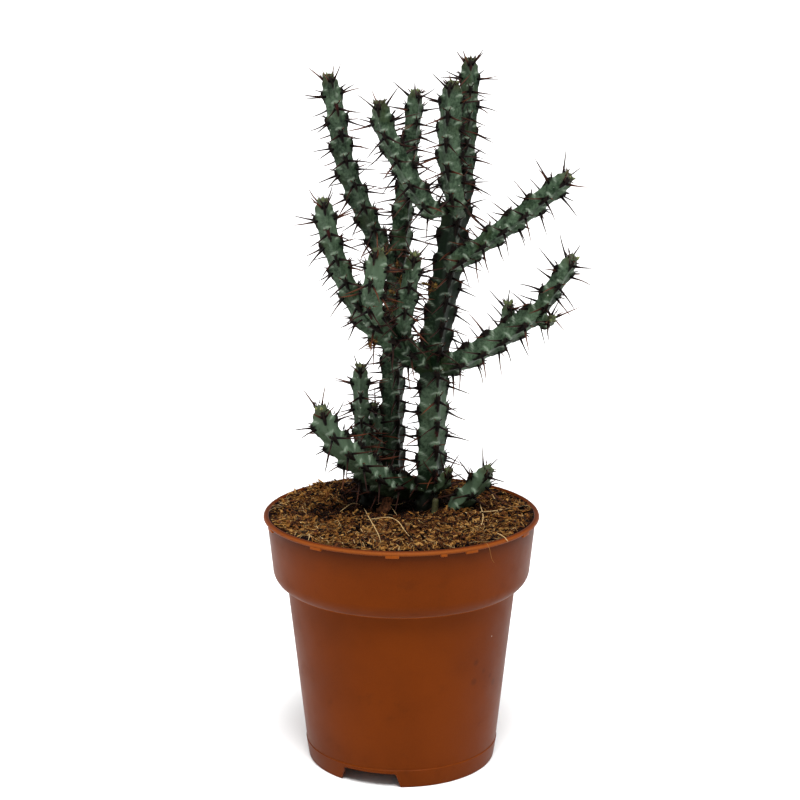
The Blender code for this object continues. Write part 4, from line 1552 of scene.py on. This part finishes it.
@dataclass
class Spines:
    """The paired spines on every tooth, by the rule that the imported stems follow, with the two
    short prickles over each pair. Angles are in degrees."""

    radius: float = 0.52
    root: float = 1.6
    aside: float = 0.7
    below: float = 0.8
    lengths: Pair = (7.0, 9.4)
    spread: float = 43.0
    droop: float = 12.0
    tip_rise: float = 42.0
    tip_closing: float = 0.4
    stray: float = 8.0
    clearance: float = 0.45
    soil_edge_z: float = 98.2
    bend_step: float = 14.0
    bend_tries: int = 5
    needle: Keys = ((0.0, 0.56), (0.16, 0.48), (0.27, 0.33), (0.6, 0.23), (0.9, 0.11),
                    (1.0, 0.03))
    bow: float = 0.35
    thickness: Pair = (0.88, 1.12)
    reach: float = 1.1
    prickle: Keys = ((0.0, 0.3), (0.4, 0.2), (1.0, 0.03))
    prickle_lengths: Pair = (1.6, 3.3)
    prickle_lift: Pair = (0.3, 1.1)
    prickle_spread: Pair = (0.1, 0.8)
    prickle_out: float = 0.1
    prickle_above: float = 1.9
    prickle_aside: float = 0.85

    def capsules(self, plant: Plant, course: Course) -> list[Capsule]:
        """The stem as a chain of capsules.

        Args:
            plant: the plant it belongs to.
            course: the stem's course.

        Returns:
            The capsules.
        """
        capsules = []
        steps = max(int(2 * course.length / RIBS.pitch), 1)
        for step in range(steps):
            start, radius = course.at(course.length * step / steps)
            end = course.at(course.length * (step + 1) / steps)[0]
            capsules.append(Capsule(start, end, radius + RIBS.tooth_height, plant.name))
        return capsules

    def is_clear(self, spine: tuple[Vector, Vector], capsules: list[Capsule],
                 plant: Plant) -> bool:
        """Whether a spine keeps off the soil and every other plant.

        Args:
            spine: its root and tip.
            capsules: the stems and the spines placed so far.
            plant: the plant that it belongs to.

        Returns:
            True when it is clear.
        """
        if spine[1].z < self.soil_edge_z + 2 * self.clearance:
            return False
        return not any(
            other.plant != plant.name and segment_distance(*spine, other.start, other.end)
            < other.radius + self.radius + self.clearance for other in capsules)

    def ends(self, course: Course, distance: float, angle: float, side: int, bend: float,
             rng: Random) -> tuple[Vector, Vector]:
        """Root and tip of one spine of a pair.

        Args:
            course: the stem's course.
            distance: the tooth's distance along it.
            angle: the rib's turn.
            side: -1 or 1, for the left or right spine.
            bend: extra lift.
            rng: the source of the draws.

        Returns:
            The root, sunk in the rib, and the tip.
        """
        place, radius = course.at(distance)
        along = course.along(distance)
        outward, _ = course.directions(distance, angle)
        sideways = along.cross(outward) * side
        near_tip = max(0.0, 1.0 - (course.length - distance) / RIBS.pitch)
        lift = self.tip_rise * near_tip - self.droop * (1 - near_tip) + bend
        lift = math.radians(lift + rng.uniform(-self.stray, self.stray))
        spread = self.spread * (1 - self.tip_closing * near_tip)
        spread = math.radians(spread + rng.uniform(-self.stray, self.stray))
        flat = math.cos(spread) * outward + math.sin(spread) * sideways
        direction = math.cos(lift) * flat + math.sin(lift) * along
        root = (place + outward * (radius + RIBS.tooth_height - self.root)
                + sideways * self.aside - along * self.below)
        return root, root + direction * (rng.uniform(*self.lengths) + self.root)

    def pairs(self, plant: Plant, courses: Sequence[Course], capsules: list[Capsule],
              rng: Random) -> list[tuple[Vector, Vector]]:
        """Every spine of a plant, bent by steps until it is clear of the other plants.

        Args:
            plant: the plant.
            courses: its stems' courses.
            capsules: what its spines keep clear of.
            rng: the source of the draws, which every try of a spine repeats.

        Returns:
            The spines' roots and tips.
        """
        spines = []
        for course in courses:
            for distance, angle in course.teeth():
                for side in (-1, 1):
                    state = rng.getstate()
                    for attempt in range(self.bend_tries):
                        rng.setstate(state)
                        spine = self.ends(course, distance, angle, side,
                                          self.bend_step * attempt, rng)
                        if self.is_clear(spine, capsules, plant):
                            spines.append(spine)
                            break
        return spines

    def piece(self, plant: Plant, courses: Sequence[Course],
              spines: Sequence[tuple[Vector, Vector]], rng: Random) -> Object:
        """All the spines and prickles of a plant.

        Args:
            plant: the plant.
            courses: its stems' courses.
            spines: the roots and tips of its spines.
            rng: the source of the draws.

        Returns:
            The spines in one object.
        """
        copies = Copies(unit_tube(6, 6))
        for start, tip in spines:
            end = start + (tip - start) * self.reach
            bow = Vector(rng.uniform(-self.bow, self.bow) for _ in range(3))
            scale = rng.uniform(*self.thickness)
            radii = tuple((share, radius * scale) for share, radius in self.needle)
            copies.along((start, (start + end) / 2 + bow, end), radii, rng.random())
        for course in courses:
            for distance, angle in course.teeth():
                self.add_prickles(copies, course, distance, angle, rng)
        return as_object(plant.name + "_spines", copies.bm)

    def add_prickles(self, copies: Copies, course: Course, distance: float, angle: float,
                     rng: Random) -> None:
        """Add the two short prickles over a tooth's pair of spines.

        Args:
            copies: the mesh that they are added to.
            course: the stem's course.
            distance: the tooth's distance along it.
            angle: the rib's turn.
            rng: the source of the draws.
        """
        place, radius = course.at(distance)
        scale = RIBS.tooth_scale(radius)
        along = course.along(distance)
        outward, sideways = course.directions(distance, angle)
        for side in (-1, 1):
            root = (place + outward * (radius + self.prickle_out)
                    + along * self.prickle_above * scale
                    + sideways * side * self.prickle_aside * scale)
            aim = (outward + along * rng.uniform(*self.prickle_lift)
                   + sideways * side * rng.uniform(*self.prickle_spread)).normalized()
            end = root + aim * rng.uniform(*self.prickle_lengths)
            copies.along((root, end), self.prickle, rng.random())


# ---------------------------------------------------------------- growing tips and dead bits

@dataclass
class GrowingTips:
    """The crown of soft scales and fine red prickles at the end of every stem. Places outwards are
    shares of the stem's radius."""

    scales: int = 4
    prickles: int = 9
    scale_radii: Keys = ((0.0, 0.75), (0.35, 0.8), (1.0, 0.06))
    prickle_radii: Keys = ((0.0, 0.2), (0.4, 0.15), (1.0, 0.03))
    scale_away: float = 0.28
    scale_lean: Pair = (0.2, 0.7)
    scale_length: Pair = (1.6, 2.6)
    scale_tone: Pair = (0.2, 0.9)
    prickle_away: Pair = (0.3, 0.72)
    prickle_lean: Pair = (0.3, 2.0)
    prickle_length: Pair = (1.6, 4.2)
    prickle_tone: Pair = (0.4, 1.0)
    turn_stray: float = 8.0
    sunk: float = 0.3
    bow: float = 0.12

    def build(self, courses: Sequence[Course], rng: Random) -> None:
        """Make the scales and the fine prickles of all the tips and dress them.

        Args:
            courses: every stem's course.
            rng: the source of the draws.
        """
        scales, prickles = Copies(unit_tube(6, 4)), Copies(unit_tube(4, 4))
        for course in courses:
            top, radius = course.at(course.length)
            along = course.along(course.length)
            for index in range(self.scales + self.prickles):
                is_scale = index < self.scales
                angle = 360 * index / self.scales if is_scale else rng.uniform(0, 360)
                angle += self.turn_stray * rng.uniform(-1, 1)
                outward, _ = course.directions(course.length, angle)
                away = self.scale_away if is_scale else rng.uniform(*self.prickle_away)
                root = top + outward * (radius * away) - along * self.sunk
                lean = rng.uniform(*(self.scale_lean if is_scale else self.prickle_lean))
                aim = (along + outward * lean).normalized()
                aim *= rng.uniform(*(self.scale_length if is_scale else self.prickle_length))
                points = (root, root + aim * 0.5 + outward * self.bow, root + aim)
                if is_scale:
                    scales.along(points, self.scale_radii, rng.uniform(*self.scale_tone))
                else:
                    prickles.along(points, self.prickle_radii, rng.uniform(*self.prickle_tone))
        finish_piece(as_object("growing_scales", scales.bm), YOUNG_SCALE.build())
        finish_piece(as_object("tip_prickles", prickles.bm), SpineWood("young_spine").build())


@dataclass
class DriedBits:
    """Dead scraps caught among the stems, a flake of bark on the soil and a dried stump. A scrap
    is (x, y, z, size); the bark and the stump stand at (x, y, lift) over the soil."""

    scraps: tuple[Quad, ...] = (
        (-11.8, -7, 166.0, 2.4), (-10.0, -8, 167.8, 1.8), (-1.5, -2, 196.0, 2.6),
        (0.0, -2, 190.0, 2.8), (-3.5, -2, 185.5, 2.8), (-2.0, -1, 181.5, 3.2),
        (-4.0, 0, 178.0, 2.6), (13.0, 9, 186.0, 2.6), (9.0, 6, 187.5, 2.0),
        (11.0, 8, 184.5, 1.8), (-5.0, -6, 201.5, 2.2))
    scrap_shares: Triple = (1.0, 0.5, 0.28)
    scrap_tones: Pair = (0.35, 0.8)
    twigs: int = 6
    twig_lengths: Pair = (1.5, 3.6)
    twig_bow: float = 0.6
    twig_tones: Pair = (0.3, 0.9)
    twig_radii: Keys = ((0.0, 0.12), (0.5, 0.22), (1.0, 0.05))
    bark: Triple = (-6.8, 12.5, 3.6)
    bark_size: Triple = (9.5, 5.5, 1.4)
    bark_turns: tuple[tuple[str, float], ...] = (("Z", 0.25), ("Y", -0.95), ("X", 0.4))
    stump: Triple = (13.0, 9.0, -1.5)
    stump_path: tuple[Triple, ...] = (
        (0.0, 0.0, 0.0), (0.2, 0.3, 4.0), (0.5, 0.4, 7.6))
    stump_radii: Keys = ((0.0, 1.5), (0.5, 1.3), (0.93, 1.2), (1.0, 0.8))

    def build(self, soil: CoirSoil, rng: Random) -> None:
        """Make the scraps, the bark and the stump and dress them.

        Args:
            soil: the soil, for its height.
            rng: the source of the draws.
        """
        lumps, twigs = Copies(unit_lump(2, 0.1, rng)), Copies(unit_tube(5, 5))
        for *place, size in self.scraps:
            middle = Vector(place)
            shape = (Matrix.Rotation(rng.uniform(0, math.tau), 3, "X")
                     @ Matrix.Rotation(rng.uniform(0, math.tau), 3, "Z")
                     @ Matrix.Diagonal([size * share for share in self.scrap_shares]))
            lumps.add(lambda point: middle + shape @ point, rng.uniform(*self.scrap_tones))
            for _ in range(self.twigs):
                aim = Vector(rng.gauss(0, 1) for _ in range(3)).normalized()
                aim *= rng.uniform(*self.twig_lengths)
                bow = Vector(rng.uniform(-self.twig_bow, self.twig_bow) for _ in range(3))
                twigs.along((middle - aim * 0.6, middle + bow, middle + aim), self.twig_radii,
                            rng.uniform(*self.twig_tones))
        bark, foot = (Vector((x, y, soil.height(x, y) + lift))
                      for x, y, lift in (self.bark, self.stump))
        shape = Matrix.Identity(3)
        for axis, turn in self.bark_turns:
            shape = shape @ Matrix.Rotation(turn, 3, axis)
        shape = shape @ Matrix.Diagonal(self.bark_size)
        flake = Copies(unit_lump(3, 0.14, rng))
        flake.add(lambda point: bark + shape @ point, 0.75)
        finish_piece(as_object("bark_flake", flake.bm), BARK.build(), sharp=40)
        stump = Copies(unit_tube(10, 10))
        stump.along([foot + Vector(step) for step in self.stump_path], self.stump_radii, 0.3)
        finish_piece(as_object("old_stump", stump.bm), YOUNG_SCALE.build(), sharp=60)
        wood = DEAD_WOOD.build()
        finish_piece(as_object("dried_scraps", lumps.bm), wood, sharp=60)
        finish_piece(as_object("dried_twigs", twigs.bm), wood)


@dataclass
class Euphorbia:
    """All the rooted plants: their skins, spines and growing tips."""

    skin: StemSkin
    spines: Spines

    def build(self, rng: Random) -> None:
        """Make and dress every plant.

        Args:
            rng: the source of the draws that only the looks need.
        """
        skin, wood = WaxySkin().build(), SpineWood().build()
        courses = {plant.name: [Course(stem) for stem in plant.stems] for plant in PLANTS}
        capsules = []
        for plant in PLANTS:
            for course in courses[plant.name]:
                capsules += self.spines.capsules(plant, course)
        rule = Random(SEED)
        for plant in PLANTS:
            own = courses[plant.name]
            pairs = self.spines.pairs(plant, own, capsules, rule)
            capsules += [Capsule(start, end, 0.0, plant.name) for start, end in pairs]
            body = self.skin.body(plant.name + "_skin", own[0])
            branches = [self.skin.body("branch", course) for course in own[1:]]
            if branches:
                combine(body, branches, "UNION")
            finish_piece(body, skin, Slot.SKIN, plant.name, sharp=60)
            finish_piece(self.spines.piece(plant, own, pairs, rng), wood, node=plant.name)
        GrowingTips().build([course for own in courses.values() for course in own], rng)


# ---------------------------------------------------------------- studio

@dataclass
class Studio:
    """A plain pale floor, soft light and the camera. A far light is (name, the way its light goes,
    watts a square metre, its width in degrees), and a softbox (name, place from the frame's
    origin, watts)."""

    camera_distance: float = 700.0
    camera_height: float = 302.85
    pitch: float = 0.2243
    lens: float = 84.29
    shift: float = -0.0017
    floor_radius: float = 30000.0
    floor_colour: str = "#EEEEEE"
    sky_colour: str = "#FFFFFF"
    sky_strength: float = 0.35
    far_lights: tuple[tuple[str, Triple, float, float], ...] = (
        ("overhead_light", (0.0, 0.0, -1.0), 1.6, 65.0),
        ("front_light", (-0.04, 0.44, -1.0), 4.1, 26.0))
    softboxes: tuple[tuple[str, Triple, float], ...] = (
        ("left_softbox", (-1300, -100, 600), 3), ("right_softbox", (1300, 100, 600), 2))
    softbox_size: float = 700.0
    aim_height: float = 120.0

    def lamp(self, name: str, kind: str, place: Vector, aim: Vector, **settings: object) -> None:
        """Add a light.

        Args:
            name: its name.
            kind: its Blender type.
            place: where it stands.
            aim: the way its light goes.
            **settings: the light's own properties.
        """
        light = bpy.data.lights.new(name, kind)
        for setting, value in settings.items():
            setattr(light, setting, value)
        lamp = bpy.data.objects.new(name, light)
        lamp.location = place
        lamp.rotation_euler = aim.to_track_quat("-Z", "Y").to_euler()
        bpy.context.scene.collection.objects.link(lamp)

    def lights(self) -> None:
        """Add the far lights and the softboxes, and even light from all round."""
        for name, travel, strength, width in self.far_lights:
            self.lamp(name, "SUN", Vector(), Vector(travel), energy=strength,
                      angle=math.radians(width))
        middle = Vector((AXIS_X, 0, self.aim_height)) * MM
        for name, place, power in self.softboxes:
            place = Vector(place) * MM
            self.lamp(name, "AREA", place, middle - place, shape="SQUARE",
                      size=self.softbox_size * MM, energy=power)
        world = bpy.data.worlds.new("studio")
        world.use_nodes = True
        background = world.node_tree.nodes["Background"]
        background.inputs["Color"].default_value = linear(self.sky_colour)
        background.inputs["Strength"].default_value = self.sky_strength
        bpy.context.scene.world = world

    def floor(self) -> None:
        """Add the wide pale floor."""
        bm = bmesh.new()
        bmesh.ops.create_circle(bm, cap_ends=True, segments=64, radius=self.floor_radius * MM)
        floor = bpy.data.objects.new("studio_floor", as_mesh("studio_floor", bm))
        material = bpy.data.materials.new("painted_floor")
        material.use_nodes = True
        shader = material.node_tree.nodes["Principled BSDF"]
        shader.inputs["Base Color"].default_value = linear(self.floor_colour)
        shader.inputs["Roughness"].default_value = 0.7
        floor.data.materials.append(material)
        bpy.context.scene.collection.objects.link(floor)

    def camera(self) -> None:
        """Set the camera low in front of the plant."""
        data = bpy.data.cameras.new("camera")
        data.lens = self.lens
        data.sensor_width = 36.0
        data.shift_x = self.shift
        camera = bpy.data.objects.new("camera", data)
        camera.location = Vector((AXIS_X, -self.camera_distance, self.camera_height)) * MM
        camera.rotation_euler = (math.pi / 2 - self.pitch, 0, 0)
        bpy.context.scene.collection.objects.link(camera)
        bpy.context.scene.camera = camera

    def build(self) -> None:
        """Set up the whole studio."""
        bpy.context.scene.view_settings.view_transform = "Standard"
        self.camera()
        self.floor()
        self.lights()


# ---------------------------------------------------------------- main

def main() -> None:
    """Build the pot, the soil, the plants and the studio."""
    logging.basicConfig(level=logging.INFO, format="%(message)s")
    rng = Random(SEED + 1)
    Studio().build()
    NurseryPot().build()
    soil = CoirSoil()
    soil.build()
    Euphorbia(StemSkin(), Spines()).build(rng)
    DriedBits().build(soil, rng)


if __name__ == "__main__":
    main()
